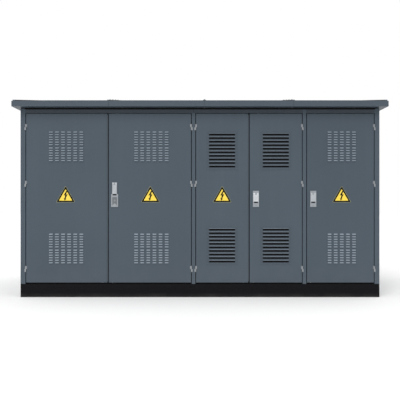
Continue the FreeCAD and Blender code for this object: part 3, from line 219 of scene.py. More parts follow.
# The folded sheet-steel casing: posts, header, end and rear panels and the door leaves, all
# powder coated slate grey after folding, with the fine orange peel of a sprayed powder.
# Faces that look up are paler, a painted highlight of the light from above, and the header
# under the eave is darker, a coat that paints the shade the eave casts on it.
def powder_coat(name, colour, roughness, dirt_amount, wave=0.0015, painted_top_highlight=0.0):
    """A stoved powder coat: tone, streaks, dust, thin edges, peel and painted highlights."""
    made, tree, shader = finish(name, shine=0.34)
    paler = tuple(min(1.0, c * 1.5 + 0.02) for c in colour)
    cloudy = tuple(c * 0.90 for c in colour)
    tone = remap(tree, noise(tree, 0.8, 4.0), 0.3, 0.7, 0.0, 1.0)
    body = mix(tree, tone, cloudy, colour)
    streak = remap(tree, noise(tree, 1.0, 4.0, (26.0, 26.0, 0.7)), 0.52, 0.8, 0.0, 0.06)
    body = mix(tree, streak, body, paler)
    # Faces that look up turn paler: a painted highlight of the light from above.
    if painted_top_highlight:
        facing = node(tree, "SeparateXYZ", {0: node(tree, "NewGeometry").outputs["Normal"]})
        up = remap(tree, facing.outputs[2], 0.25, 0.60, 0.0, painted_top_highlight)
        body = mix(tree, up, body, TOP_HIGHLIGHT_TONE)
    dirt = reckon(tree, "MULTIPLY", dust_share(tree, 0.15, 0.55, 0.8), dirt_amount)
    body = mix(tree, dirt, body, DUST)
    # Edges turn paler: partly the thinner powder there, partly a painted highlight along them.
    rounded = node(tree, "Bevel", {"Radius": 0.0016}, samples=4).outputs[0]
    plain = node(tree, "NewGeometry").outputs["Normal"]
    turned = node(tree, "VectorMath", {0: rounded, 1: plain}, operation="DOT_PRODUCT")
    edge = remap(tree, turned.outputs["Value"], 0.80, 0.99, 0.30, 0.0)
    body = mix(tree, edge, body, paler)
    rough = remap(tree, noise(tree, 9.0, 5.0), 0.3, 0.7, roughness - 0.05, roughness + 0.07)
    peel = bump(tree, noise(tree, 620.0, 2.0), 0.00025, 0.5, rounded)
    waves = bump(tree, noise(tree, 1.9, 1.0), wave, 0.6, peel)
    feed(tree, shader, body, rough, waves)
    return made


# The paler tone of upward faces, such as the louvre hood slopes: a painted highlight.
TOP_HIGHLIGHT_TONE = (0.24, 0.29, 0.34)
TOP_HIGHLIGHT_SHARE = 0.85
casing_coat = powder_coat("slate_powder_coat", (0.061, 0.083, 0.106), 0.42, 0.05,
                          painted_top_highlight=TOP_HIGHLIGHT_SHARE)
narrow_coat = powder_coat("slate_powder_coat_narrow_door", (0.057, 0.078, 0.100), 0.42, 0.05,
                          painted_top_highlight=TOP_HIGHLIGHT_SHARE)
# The header's darker coat is painted shade: the shadow the eave casts over it.
painted_shade_coat = powder_coat("slate_powder_coat_painted_shade", (0.043, 0.058, 0.073), 0.46, 0.05)
LEAVES = ["door_%d_leaf" % i for i in range(1, 6)]
paint(casing_coat, "frame_posts", "end_panels", "rear_panels", *LEAVES[:4])
paint(painted_shade_coat, "header_panels")
paint(narrow_coat, LEAVES[4])
soften(0.0012, "frame_posts", "header_panels", "end_panels")


# The roof: folded sheet laid to both sides of a ridge, with capped joints, gable infills and
# folded drip edges, in the same coat but sun-faded and dustier on top.
roof_coat = powder_coat("slate_powder_coat_roof", (0.060, 0.080, 0.102), 0.48, 0.16)
paint(roof_coat, "roof_sheets", "roof_ribs", "roof_trim")
soften(0.0015, "roof_sheets", "roof_ribs", "roof_trim")


# The roof joints: a bead of black mastic run down each joint of the drip edge, and the
# zinc-plated hexagon screws with washers that hold the joint caps along both slopes.
def build(name, fill, materials, body, rounding=0.0, smooth=True):
    """Make a mesh piece from a filling function, give it finishes and let it ride."""
    shape = bmesh.new()
    fill(shape)
    bmesh.ops.recalc_face_normals(shape, faces=shape.faces)
    data = bpy.data.meshes.new(name)
    shape.to_mesh(data)
    shape.free()
    for material in materials:
        data.materials.append(material)
    piece = bpy.data.objects.new(name, data)
    bpy.context.scene.collection.objects.link(piece)
    if rounding:
        edge = piece.modifiers.new("rounding", "BEVEL")
        edge.width = rounding
        edge.segments = 2
        edge.limit_method = "ANGLE"
        edge.angle_limit = math.radians(40)
    if smooth:
        for face in data.polygons:
            face.use_smooth = True
        data.set_sharp_from_angle(angle=math.radians(38))
    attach(piece, body)
    return piece


def block(shape, low, high, material_index=0):
    """A rectangular part between two corners."""
    corners = [shape.verts.new((x, y, z)) for x in (low[0], high[0])
               for y in (low[1], high[1]) for z in (low[2], high[2])]
    for ring in ((0, 1, 3, 2), (4, 6, 7, 5), (0, 4, 5, 1),
                 (2, 3, 7, 6), (0, 2, 6, 4), (1, 5, 7, 3)):
        shape.faces.new([corners[k] for k in ring]).material_index = material_index


def turned(shape, centre, axis, rings, sides=16, material_index=0, spin=0.0):
    """A turned part: rings of (distance along the axis, radius), capped at both ends."""
    up = Vector(axis).normalized()
    across = up.orthogonal().normalized()
    aside = up.cross(across)
    loops = []
    for along, radius in rings:
        loop = []
        for k in range(sides):
            angle = spin + 2 * math.pi * k / sides
            reach = across * math.cos(angle) * radius + aside * math.sin(angle) * radius
            loop.append(shape.verts.new(Vector(centre) + up * along + reach))
        loops.append(loop)
    faces = [shape.faces.new(loops[0]), shape.faces.new(loops[-1])]
    for lower, upper in zip(loops, loops[1:]):
        for k in range(sides):
            after = (k + 1) % sides
            faces.append(shape.faces.new((lower[k], lower[after], upper[after], upper[k])))
    for face in faces:
        face.material_index = material_index


WASHER_RINGS = ((0.0, 0.95), (0.12, 0.9))
WASHER_SIDES = 18
HEAD_RINGS = ((0.12, 0.56), (0.55, 0.56), (0.66, 0.44))


def hex_screw(shape, centre, axis, across, material_index=0):
    """A flanged hexagon head: a thin washer with a chamfered six-sided head on it."""
    for rings, sides in ((WASHER_RINGS, WASHER_SIDES), (HEAD_RINGS, 6)):
        turned(shape, centre, axis, [(across * along, across * radius) for along, radius in rings],
               sides, material_index)


mastic, tree, shader = finish("black_mastic")
feed(tree, shader,
     mix(tree, patches(tree, 40.0, 4.0), (0.008, 0.009, 0.010), (0.020, 0.021, 0.022)),
     remap(tree, noise(tree, 70.0), 0.3, 0.7, 0.55, 0.75),
     bump(tree, noise(tree, 160.0, 3.0), 0.0008, 0.4))
screw_zinc, tree, shader = finish("dull_screw_zinc", 1.0)
feed(tree, shader,
     mix(tree, patches(tree, 300.0, 3.0), (0.44, 0.45, 0.46), (0.32, 0.32, 0.31)),
     remap(tree, noise(tree, 400.0), 0.3, 0.7, 0.40, 0.60))
roof_low, roof_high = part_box("roof_sheets")
FASCIA_TOP = 2.172
SEAMS = (-1.006, 0.051, 1.028)
BEAD_WIDTH = 0.0032
BEAD_SET_BACK = 0.0004
BEAD_SQUEEZE = 0.004
BEAD_FOOT = 0.0005
BEAD_HEAD = 0.001
SHEET = 0.002


def fill_beads(shape):
    """A bead in each joint of the drip edge, at the front and at the rear."""
    for seam in SEAMS:
        for face_y, inner_y in (
                (roof_low.y + BEAD_SET_BACK, roof_low.y + SHEET + BEAD_SQUEEZE),
                (roof_high.y - SHEET - BEAD_SQUEEZE, roof_high.y - BEAD_SET_BACK)):
            block(shape, (seam - BEAD_WIDTH / 2, face_y, roof_low.z + BEAD_FOOT),
                  (seam + BEAD_WIDTH / 2, inner_y, FASCIA_TOP - BEAD_HEAD))


build("roof_joint_mastic", fill_beads, [mastic], "enclosure", smooth=False)

RIB_HEIGHT = 0.012
FIRST_SCREW = 0.15
SCREW_STEP = 0.26
SCREW_SUNK = 0.0005
SCREWS_PER_SLOPE = 4
slope_run = roof_high.y
slope_rise = roof_high.z - FASCIA_TOP
slope_length = math.hypot(slope_run, slope_rise)
SCREW_ACROSS = 0.010


def fill_roof_screws(shape):
    """A row of screws up each slope along each joint cap."""
    for seam in SEAMS:
        for side in (-1, 1):
            lean = Vector((0.0, side * slope_rise, slope_run)).normalized()
            for k in range(SCREWS_PER_SLOPE):
                along = (FIRST_SCREW + SCREW_STEP * k) / slope_length
                y = side * slope_run * (1 - along)
                z = FASCIA_TOP + slope_rise * along + RIB_HEIGHT * slope_length / slope_run
                hex_screw(shape, Vector((seam, y, z)) - lean * SCREW_SUNK, lean, SCREW_ACROSS)


build("roof_cap_screws", fill_roof_screws, [screw_zinc], "enclosure")


# The eave seal: a half-round bead of black rubber pressed into the joint between the header
# and the underside of the roof, right round the casing; its near-black also paints the deep
# shade under the eave.
EAVE_LOW = 2.091
EAVE_HIGH = 2.109
EAVE_OUT = 0.006
EAVE_ROOT = 0.0004
EAVE_STEPS = 5
eave_shade_black, tree, shader = finish("black_eave_seal_painted_shade", shine=0.1)
feed(tree, shader,
     mix(tree, patches(tree, 30.0, 4.0), (0.004, 0.004, 0.005), (0.009, 0.009, 0.010)),
     remap(tree, noise(tree, 80.0), 0.3, 0.7, 0.65, 0.85),
     bump(tree, noise(tree, 300.0, 2.0), 0.0003, 0.3))


def fill_eave_seal(shape):
    """A half-round section carried round the four sides, mitred at the corners."""
    low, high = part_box("header_panels")
    middle = (EAVE_LOW + EAVE_HIGH) / 2
    section = [(-EAVE_ROOT, EAVE_LOW)]
    for k in range(EAVE_STEPS + 1):
        turn = math.pi * k / EAVE_STEPS
        section.append((EAVE_OUT * math.sin(turn), middle - (middle - EAVE_LOW) * math.cos(turn)))
    section.append((-EAVE_ROOT, EAVE_HIGH))
    loops = []
    for side_x, side_y in ((-1, -1), (1, -1), (1, 1), (-1, 1)):
        edge_x = low.x if side_x < 0 else high.x
        edge_y = low.y if side_y < 0 else high.y
        loops.append([shape.verts.new((edge_x + side_x * out, edge_y + side_y * out, z))
                      for out, z in section])
    for k in range(4):
        here, there = loops[k], loops[(k + 1) % 4]
        for n in range(len(section)):
            after = (n + 1) % len(section)
            shape.faces.new((here[n], here[after], there[after], there[n]))


build("eave_seal", fill_eave_seal, [eave_shade_black], "enclosure")


# The screws of the fixed panels: a row of button-headed screws down the edges of the two end
# panels and of the three rear panels, painted over with the casing.
BUTTON_RADIUS = 0.0055
BUTTON_RINGS = [(-0.0004, 1.0), (0.0006, 1.0), (0.0016, 0.82), (0.0022, 0.45)]
BUTTON_LIFT = 0.0002
PANEL_SCREW_ROWS = 7
PANEL_SCREW_END = 0.06


def button(shape, centre, axis, radius=BUTTON_RADIUS):
    """A low domed rivet or button head."""
    turned(shape, centre, axis, [(along, radius * share) for along, share in BUTTON_RINGS], 14)


end_low, end_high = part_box("end_panels")
rear_low, rear_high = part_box("rear_panels")
post_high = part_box("frame_posts")[1]
PANEL_EDGE = 0.03
REAR_JOINTS = (-0.072, 1.164)
POST_HALF = 0.020


def fill_panel_screws(shape):
    """A column of screws down each upright edge of the fixed panels."""
    reach = end_high.z - end_low.z - 2 * PANEL_SCREW_END
    heights = [end_low.z + PANEL_SCREW_END + reach * k / (PANEL_SCREW_ROWS - 1)
               for k in range(PANEL_SCREW_ROWS)]
    for x, side in ((end_low.x, -1), (end_high.x, 1)):
        for y in (end_low.y + PANEL_EDGE, end_high.y - PANEL_EDGE):
            for z in heights:
                button(shape, (x + side * BUTTON_LIFT, y, z), (side, 0, 0))
    columns = [rear_low.x + PANEL_EDGE, rear_high.x - PANEL_EDGE]
    for joint in REAR_JOINTS:
        columns += [joint - POST_HALF - PANEL_EDGE, joint + POST_HALF + PANEL_EDGE]
    for x in columns:
        for z in heights:
            button(shape, (x, post_high.y + BUTTON_LIFT, z), (0, 1, 0))


build("panel_screws", fill_panel_screws, [casing_coat], "enclosure")


# The rain strips of the two double doors: a folded channel along the free edge of each leaf
# that has no lock, set back from the face, so that only a narrow joint is left open.
STRIP_WIDE = 0.0115
STRIP_SET_BACK = 0.004
STRIP_DEEP = 0.026
STRIP_RETURN = 0.0015
STRIP_BEND = 1.5
STRIP_END = 0.012


def fill_rain_strip(leaf_low, leaf_high):
    """The filling function for a channel standing off the right-hand edge of a leaf."""
    def fill(shape):
        """The channel section carried up between the two ends of the leaf."""
        root, lip = leaf_high.x, leaf_high.x + STRIP_WIDE
        front = leaf_low.y + STRIP_SET_BACK
        rear = front + STRIP_DEEP
        section = [(root, front), (lip - STRIP_RETURN, front), (lip, front + STRIP_RETURN),
                   (lip, rear), (lip - STRIP_RETURN, rear),
                   (lip - STRIP_RETURN, front + STRIP_RETURN * STRIP_BEND),
                   (root, front + STRIP_RETURN)]
        lower = [shape.verts.new((x, y, leaf_low.z + STRIP_END)) for x, y in section]
        upper = [shape.verts.new((x, y, leaf_high.z - STRIP_END)) for x, y in section]
        shape.faces.new(lower)
        shape.faces.new(upper)
        for k in range(len(section)):
            after = (k + 1) % len(section)
            shape.faces.new((lower[k], lower[after], upper[after], upper[k]))
    return fill


# The strips take the header's darker coat, painted shade of the narrow joint they sit in.
for i in (1, 3):
    build("door_%d_rain_strip" % i, fill_rain_strip(*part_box("door_%d_leaf" % i)), [painted_shade_coat],
          "door_%d" % i, smooth=False)


# The inner steel: floor plates, partitions, top rails and rafters of galvanised sheet and
# angle, left bare, with the frosty spangle that zinc shows as it sets.
zinc_sheet, tree, shader = finish("galvanised_sheet", 0.75)
place = node(tree, "TexCoord").outputs["Object"]
spangle = node(tree, "TexVoronoi", {"Vector": place, "Scale": 70.0})
cell = node(tree, "SeparateColor", {0: spangle.outputs["Color"]}).outputs[0]
bloom = remap(tree, noise(tree, 3.0, 5.0), 0.35, 0.7, 0.0, 0.6)
zinc = mix(tree, cell, (0.38, 0.40, 0.41), (0.52, 0.54, 0.55))
feed(tree, shader, mix(tree, bloom, zinc, (0.55, 0.56, 0.56)),
     remap(tree, cell, 0.0, 1.0, 0.34, 0.55),
     bump(tree, noise(tree, 90.0, 3.0), 0.0004, 0.2))
paint(zinc_sheet, "floor_plates", "partition_walls", "roof_rafters")
soften(0.001, "roof_rafters", "floor_plates")


# The door frame behind the leaves: square tube and sill angle, dipped in black enamel whose
# near-black paints the shade in the joints between the doors, so they read as dark lines.
gap_shade_enamel, tree, shader = finish("black_frame_enamel", shine=0.25)
feed(tree, shader,
     mix(tree, patches(tree, 25.0, 4.0), (0.006, 0.007, 0.008), (0.012, 0.013, 0.015)),
     remap(tree, noise(tree, 50.0, 3.0), 0.3, 0.7, 0.40, 0.58),
     bump(tree, noise(tree, 260.0, 3.0), 0.0003, 0.3))
paint(gap_shade_enamel, "top_rails")
soften(0.001, "top_rails")


# The door seals: extruded black rubber strips stuck round each opening, matt and slightly
# bloomed with age.
seal_rubber, tree, shader = finish("black_seal_rubber", shine=0.3)
feed(tree, shader,
     mix(tree, patches(tree, 30.0, 4.0), (0.012, 0.012, 0.012), (0.024, 0.024, 0.023)),
     remap(tree, noise(tree, 80.0), 0.3, 0.7, 0.7, 0.86),
     bump(tree, noise(tree, 500.0, 2.0), 0.0002, 0.4))
paint(seal_rubber, "door_seals")
soften(0.0012, "door_seals")


# The hinges: bright zinc-plated steel halves on a steel pin, three to a door, screwed to the
# leaf and to the post beside it.
def bright_metal(name, colour, roughness, grain):
    """Plated or brushed metal: a fine grain one way, smudges and tiny pits."""
    made, tree, shader = finish(name, 1.0)
    scratch = noise(tree, 40.0, 3.0, grain)
    smudge = remap(tree, noise(tree, 24.0, 4.0), 0.35, 0.7, 0.0, 0.35)
    duller = tuple(c * 0.72 for c in colour)
    feed(tree, shader, mix(tree, smudge, colour, duller),
         remap(tree, scratch, 0.3, 0.7, roughness - 0.06, roughness + 0.1),
         bump(tree, scratch, 0.0001, 0.25))
    return made


hinge_zinc = bright_metal("bright_zinc_plate", (0.40, 0.42, 0.44), 0.36, (8.0, 8.0, 60.0))
HINGES = ["door_%d_hinge_halves" % i for i in range(1, 6)]
paint(hinge_zinc, "fixed_hinge_halves", *HINGES)
soften(0.0006, "fixed_hinge_halves", *HINGES)


# The louvre plates of the transformer doors and of the rear: sheet with a pressed brow over
# each open slot, in a slightly darker batch of the coat, held by blind rivets round the edge.
# The plates' upward faces get half the painted highlight of the light from above.
grille_coat = powder_coat("slate_powder_coat_louvres", (0.056, 0.076, 0.097), 0.44, 0.05,
                          painted_top_highlight=0.5)
paint(grille_coat, "door_3_grilles", "door_4_grilles")
PLATE_HIGH = 0.430
PLATE_WIDE = 0.344
RIVET_INSET = 0.012
TOP_ROW_SHARE = 0.6
RIVET_RADIUS = 0.0034
RIVETS_ACROSS = 4
RIVETS_UP = 5


def grille_corners(node_name):
    """The lower left corner of each of the two plates of one node."""
    low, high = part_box(node_name)
    middle = (low.x + high.x) / 2
    return [(middle - PLATE_WIDE / 2, low.z), (middle - PLATE_WIDE / 2, high.z - PLATE_HIGH)]


def fill_rivets(corners, face_y, side):
    """The filling function for the rivets round a set of plates."""
    def fill(shape):
        """A row across the head and foot of each plate and a column down each side."""
        for x0, z0 in corners:
            for k in range(RIVETS_ACROSS):
                x = x0 + RIVET_INSET + (PLATE_WIDE - 2 * RIVET_INSET) * k / (RIVETS_ACROSS - 1)
                for z in (z0 + RIVET_INSET, z0 + PLATE_HIGH - RIVET_INSET * TOP_ROW_SHARE):
                    button(shape, (x, face_y, z), (0, side, 0), RIVET_RADIUS)
            for k in range(1, RIVETS_UP - 1):
                z = z0 + RIVET_INSET + (PLATE_HIGH - 2 * RIVET_INSET) * k / (RIVETS_UP - 1)
                for x in (x0 + RIVET_INSET, x0 + PLATE_WIDE - RIVET_INSET):
                    button(shape, (x, face_y, z), (0, side, 0), RIVET_RADIUS)
    return fill


# The guard behind each louvre plate: a woven mesh of black-lacquered steel wire in a thin
# edge strip, spot welded inside the window of the skin, with a black foam dust mat behind it
# that a zinc-plated frame holds in place. The near-black wire and mat paint the shade of the
# dark compartment seen through the slots.
guard_shade_lacquer, tree, shader = finish("black_wire_lacquer_painted_shade", shine=0.2)
feed(tree, shader,
     mix(tree, patches(tree, 90.0, 3.0), (0.004, 0.004, 0.005), (0.009, 0.009, 0.010)),
     remap(tree, noise(tree, 200.0), 0.3, 0.7, 0.5, 0.7))
WIRE = 0.0016
WEAVE_SHARE = 0.8
RIM_WIRES = 1.5
GUARD_GAP = 0.0004
MESH_STEP = 0.0046
GUARD_WIDE = 0.312
GUARD_HIGH = 0.404
GUARD_LIFT = 0.013
EDGE_STRIP = 0.012
MAT_THICK = 0.008
MAT_CELLS = 24
MAT_GAP = 0.0002
MAT_RIPPLE = 0.0006
SWELL_ACROSS = 1.7
SWELL_UP = 2.3
CLIP_GAP = 0.0001
CLIP_THICK = 0.0012
CLIP_WIDE = 0.016
shade_foam_mat, tree, shader = finish("black_filter_foam", shine=0.05)
feed(tree, shader,
     mix(tree, remap(tree, noise(tree, 400.0, 3.0), 0.4, 0.6, 0.0, 1.0),
         (0.0015, 0.0015, 0.0018), (0.0045, 0.0045, 0.005)),
     remap(tree, noise(tree, 200.0), 0.3, 0.7, 0.85, 0.98),
     bump(tree, noise(tree, 500.0, 3.0), 0.001, 0.6))


def fill_mat(shape, left, foot, near, far):
    """A soft sheet whose face swells and dips a little between its edges."""
    sheets = []
    for y, ripple in ((near, MAT_RIPPLE), (far, 0.0)):
        grid = []
        for i in range(MAT_CELLS + 1):
            for k in range(MAT_CELLS + 1):
                swell = ripple * math.sin(i * SWELL_ACROSS) * math.sin(k * SWELL_UP)
                grid.append(shape.verts.new((left + GUARD_WIDE * i / MAT_CELLS,
                                             y + (far - near) * abs(swell) / MAT_THICK,
                                             foot + GUARD_HIGH * k / MAT_CELLS)))
        sheets.append(grid)
        for i in range(MAT_CELLS):
            for k in range(MAT_CELLS):
                a = i * (MAT_CELLS + 1) + k
                shape.faces.new((grid[a], grid[a + 1], grid[a + MAT_CELLS + 2],
                                 grid[a + MAT_CELLS + 1])).material_index = 1
    rim = [i * (MAT_CELLS + 1) for i in range(MAT_CELLS)]
    rim += [MAT_CELLS * (MAT_CELLS + 1) + k for k in range(MAT_CELLS)]
    rim += [i * (MAT_CELLS + 1) + MAT_CELLS for i in range(MAT_CELLS, 0, -1)]
    rim += list(range(MAT_CELLS, 0, -1))
    for k in range(len(rim)):
        a, b = rim[k], rim[(k + 1) % len(rim)]
        shape.faces.new((sheets[0][a], sheets[0][b],
                         sheets[1][b], sheets[1][a])).material_index = 1


def fill_guard(corners, skin_y, inward):
    """The filling function for the mesh, mat and frame behind a set of plates."""
    def fill(shape):
        """The wires both ways, their edge strip, the mat and the frame with its cross bar."""
        near = skin_y + inward * GUARD_GAP
        cross = near + inward * WIRE * WEAVE_SHARE
        upright = sorted((near, near + inward * WIRE))
        level = sorted((cross, cross + inward * WIRE))
        for x0, z0 in corners:
            left = x0 + (PLATE_WIDE - GUARD_WIDE) / 2
            foot = z0 + GUARD_LIFT
            for k in range(int(GUARD_WIDE / MESH_STEP) + 1):
                x = left + MESH_STEP * k
                block(shape, (x - WIRE / 2, upright[0], foot),
                      (x + WIRE / 2, upright[1], foot + GUARD_HIGH))
            for k in range(int(GUARD_HIGH / MESH_STEP) + 1):
                z = foot + MESH_STEP * k
                block(shape, (left, level[0], z - WIRE / 2),
                      (left + GUARD_WIDE, level[1], z + WIRE / 2))
            rim = sorted((near, cross + inward * WIRE * RIM_WIRES))
            for z in (foot, foot + GUARD_HIGH - EDGE_STRIP):
                block(shape, (left, rim[0], z), (left + GUARD_WIDE, rim[1], z + EDGE_STRIP))
            for x in (left, left + GUARD_WIDE - EDGE_STRIP):
                block(shape, (x, rim[0], foot + EDGE_STRIP),
                      (x + EDGE_STRIP, rim[1], foot + GUARD_HIGH - EDGE_STRIP))
            mat_near = cross + inward * (WIRE * RIM_WIRES + MAT_GAP)
            mat_far = mat_near + inward * MAT_THICK
            fill_mat(shape, left, foot, mat_near, mat_far)
            back = sorted((mat_far + inward * CLIP_GAP,
                           mat_far + inward * (CLIP_GAP + CLIP_THICK)))
            for z in (foot, foot + GUARD_HIGH - CLIP_WIDE):
                block(shape, (left, back[0], z), (left + GUARD_WIDE, back[1], z + CLIP_WIDE), 2)
            bar_z = foot + (GUARD_HIGH - CLIP_WIDE) / 2
            block(shape, (left + CLIP_WIDE, back[0], bar_z),
                  (left + GUARD_WIDE - CLIP_WIDE, back[1], bar_z + CLIP_WIDE), 2)
            for x in (left, left + GUARD_WIDE - CLIP_WIDE):
                block(shape, (x, back[0], foot + CLIP_WIDE),
                      (x + CLIP_WIDE, back[1], foot + GUARD_HIGH - CLIP_WIDE), 2)
    return fill


for i in (3, 4):
    corners = grille_corners("door_%d_grilles" % i)
    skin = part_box("door_%d_leaf" % i)[0].y
    build("door_%d_grille_rivets" % i, fill_rivets(corners, skin - SHEET, -1), [casing_coat],
          "door_%d" % i)
    build("door_%d_vermin_mesh" % i, fill_guard(corners, skin + SHEET, 1),
          [guard_shade_lacquer, shade_foam_mat, screw_zinc], "door_%d" % i,
          smooth=False)
REAR_MIDDLE = 0.546
REAR_FEET = (0.343, 1.402)
rear_corners = [(REAR_MIDDLE - PLATE_WIDE / 2, foot) for foot in REAR_FEET]
build("rear_grille_rivets", fill_rivets(rear_corners, post_high.y + SHEET, 1), [casing_coat],
      "enclosure")
build("rear_vermin_mesh", fill_guard(rear_corners, post_high.y - SHEET, -1),
      [guard_shade_lacquer, shade_foam_mat, screw_zinc], "enclosure", smooth=False)


# The locks: die-cast cases with a swing lever and a turning spindle, satin chrome plated, a
# black-lined finger pocket and a key slot, whose near-black paints the shade in these hollows.
# The long lock of the second door has a smoked inlay in the dish below its lever.
case_chrome = bright_metal("satin_chrome_case", (0.38, 0.41, 0.44), 0.36, (50.0, 8.0, 8.0))
lever_chrome = bright_metal("satin_chrome_lever", (0.54, 0.575, 0.61), 0.33, (50.0, 8.0, 8.0))
used_chrome = bright_metal("polished_chrome_lever", (0.72, 0.75, 0.78), 0.30, (50.0, 8.0, 8.0))
for i in (2, 4, 5):
    paint(case_chrome, "door_%d_lock_case" % i, "door_%d_spindle" % i)
    paint(used_chrome if i == 4 else lever_chrome, "door_%d_lever" % i)
    soften(0.0012, "door_%d_lock_case" % i, "door_%d_lever" % i)
pocket_shade_black, tree, shader = finish("black_pocket_liner_painted_shade", shine=0.08)
feed(tree, shader,
     mix(tree, patches(tree, 120.0, 3.0), (0.002, 0.002, 0.002), (0.005, 0.005, 0.005)),
     remap(tree, noise(tree, 300.0), 0.3, 0.7, 0.5, 0.68))
POCKET_WIDE = 0.044
POCKET_HIGH = 0.020
POCKET_RISE = 0.004
POCKET_DEEP = 0.006
LINER = 0.0004
POCKET_GAP = 0.0002
POCKET_LIP = 0.0003
KEY_OUT = 0.002
KEY_HEIGHTS = ((2, 1.0765), (4, 1.023), (5, 1.023))
SLOT_WIDE = 0.0016
SLOT_HIGH = 0.0085
SLOT_PROUD = 0.0002
SLOT_SUNK = 0.0006
PLUG_RINGS = [(0.0, 0.0026), (0.0007, 0.0026)]
PLUG_PROUD = 0.0001
PLUG_SIDES = 14
CASE_THICK = 0.008
for i, key_z in KEY_HEIGHTS:
    case_low, case_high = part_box("door_%d_lock_case" % i)
    lever_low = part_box("door_%d_lever" % i)[0]
    middle = (case_low.x + case_high.x) / 2
    case_y = case_high.y - CASE_THICK

    def fill_pocket(shape):
        """The near-black liner of the finger pocket and key slot: painted shade in them."""
        top = lever_low.z + POCKET_RISE - POCKET_GAP
        floor_y = case_y + POCKET_DEEP
        block(shape, (middle - POCKET_WIDE / 2, floor_y - LINER, top - POCKET_HIGH),
              (middle + POCKET_WIDE / 2, floor_y, top))
        for x in (middle - POCKET_WIDE / 2, middle + POCKET_WIDE / 2 - LINER):
            block(shape, (x, case_y + POCKET_LIP, top - POCKET_HIGH), (x + LINER, floor_y, top))
        for z in (top - POCKET_HIGH, top - LINER):
            block(shape, (middle - POCKET_WIDE / 2, case_y + POCKET_LIP, z),
                  (middle + POCKET_WIDE / 2, floor_y, z + LINER))
        key_y = case_y - KEY_OUT
        block(shape, (middle - SLOT_WIDE / 2, key_y - SLOT_PROUD, key_z - SLOT_HIGH / 2),
              (middle + SLOT_WIDE / 2, key_y + SLOT_SUNK, key_z + SLOT_HIGH / 2))
        turned(shape, (middle, key_y - PLUG_PROUD, key_z), (0, 1, 0), PLUG_RINGS, PLUG_SIDES)

    build("door_%d_lock_openings" % i, fill_pocket, [pocket_shade_black], "door_%d" % i,
          smooth=False)
dish_low, dish_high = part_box("door_2_lock_case")
DISH_INSET = 0.0125
DISH_DEEP = 0.003
INLAY_THICK = 0.0008
INLAY_HEEL = 0.004
INLAY_PEAK = 0.030
INLAY_TOP_GAP = 0.018
dish_face = dish_high.y - CASE_THICK + DISH_DEEP
dark_chrome = bright_metal("smoked_chrome", (0.20, 0.215, 0.23), 0.36, (8.0, 8.0, 40.0))


def slab(shape, outline, back, front, material_index=0):
    """A flat plate: an outline in x and z, from one y to another."""
    rear = [shape.verts.new((x, back, z)) for x, z in outline]
    fore = [shape.verts.new((x, front, z)) for x, z in outline]
    faces = [shape.faces.new(rear), shape.faces.new(fore)]
    count = len(outline)
    for k in range(count):
        faces.append(shape.faces.new((rear[k], rear[(k + 1) % count],
                                      fore[(k + 1) % count], fore[k])))
    for face in faces:
        face.material_index = material_index


def fill_dish(shape):
    """The smoked inlay plate of the dish, cut to a point over the bright foot."""
    left, right = dish_low.x + DISH_INSET, dish_high.x - DISH_INSET
    foot, top = dish_low.z + DISH_INSET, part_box("door_2_lever")[0].z - INLAY_TOP_GAP
    slab(shape, [(left, foot + INLAY_HEEL), ((left + right) / 2, foot + INLAY_PEAK),
                 (right, foot + INLAY_HEEL), (right, top), (left, top)],
         dish_face, dish_face - INLAY_THICK)


build("door_2_lock_inlay", fill_dish, [dark_chrome], "door_2", smooth=False)


# The lock rods and the flush bolts of the doors without a lock: drawn steel bar, zinc plated
# and slightly yellowed.
rod_zinc = bright_metal("yellowed_zinc_rod", (0.72, 0.70, 0.62), 0.38, (8.0, 8.0, 1.0))
for i in (2, 4, 5):
    paint(rod_zinc, "door_%d_rod_upper" % i, "door_%d_rod_lower" % i)
for i in (1, 3):
    paint(rod_zinc, "door_%d_bolt_upper" % i, "door_%d_bolt_lower" % i)


# The hazard plates: a rounded triangle of yellow laminate with a pale cut edge, a printed
# black border and a plain black bolt, glued to the leaf.
def rounded_triangle(middle, bottom, side, radius, steps=6):
    """The outline of an upright triangle with round corners."""
    high = side * math.sqrt(3) / 2
    corners = [(middle - side / 2, bottom), (middle + side / 2, bottom), (middle, bottom + high)]
    inset = radius / math.tan(math.radians(30))
    outline = []
    for k, corner in enumerate(corners):
        before = Vector(corners[k - 1]) - Vector(corner)
        after = Vector(corners[(k + 1) % 3]) - Vector(corner)
        towards = (before.normalized() + after.normalized()).normalized()
        centre = Vector(corner) + towards * radius / math.sin(math.radians(30))
        start = Vector(corner) + before.normalized() * inset - centre
        end = Vector(corner) + after.normalized() * inset - centre
        turn = start.angle_signed(end)
        for s in range(steps + 1):
            spot = centre + Matrix.Rotation(-turn * s / steps, 2) @ start
            outline.append((spot.x, spot.y))
    return outline


sign_yellow, tree, shader = finish("yellow_laminate")
shader.inputs["Coat Weight"].default_value = 0.3
feed(tree, shader,
     mix(tree, patches(tree, 30.0, 4.0), (0.84, 0.61, 0.050), (0.89, 0.67, 0.075)),
     remap(tree, noise(tree, 60.0), 0.3, 0.7, 0.32, 0.45),
     bump(tree, noise(tree, 300.0, 2.0), 0.0001, 0.2))
sign_edge, tree, shader = finish("pale_laminate_edge")
feed(tree, shader,
     mix(tree, noise(tree, 90.0, 3.0), (0.34, 0.33, 0.14), (0.42, 0.41, 0.19)),
     remap(tree, noise(tree, 60.0), 0.3, 0.7, 0.4, 0.55))
sign_black, tree, shader = finish("black_sign_ink", shine=0.12)
feed(tree, shader,
     mix(tree, patches(tree, 80.0, 4.0), (0.003, 0.003, 0.003), (0.007, 0.007, 0.007)),
     remap(tree, noise(tree, 60.0), 0.3, 0.7, 0.38, 0.5))

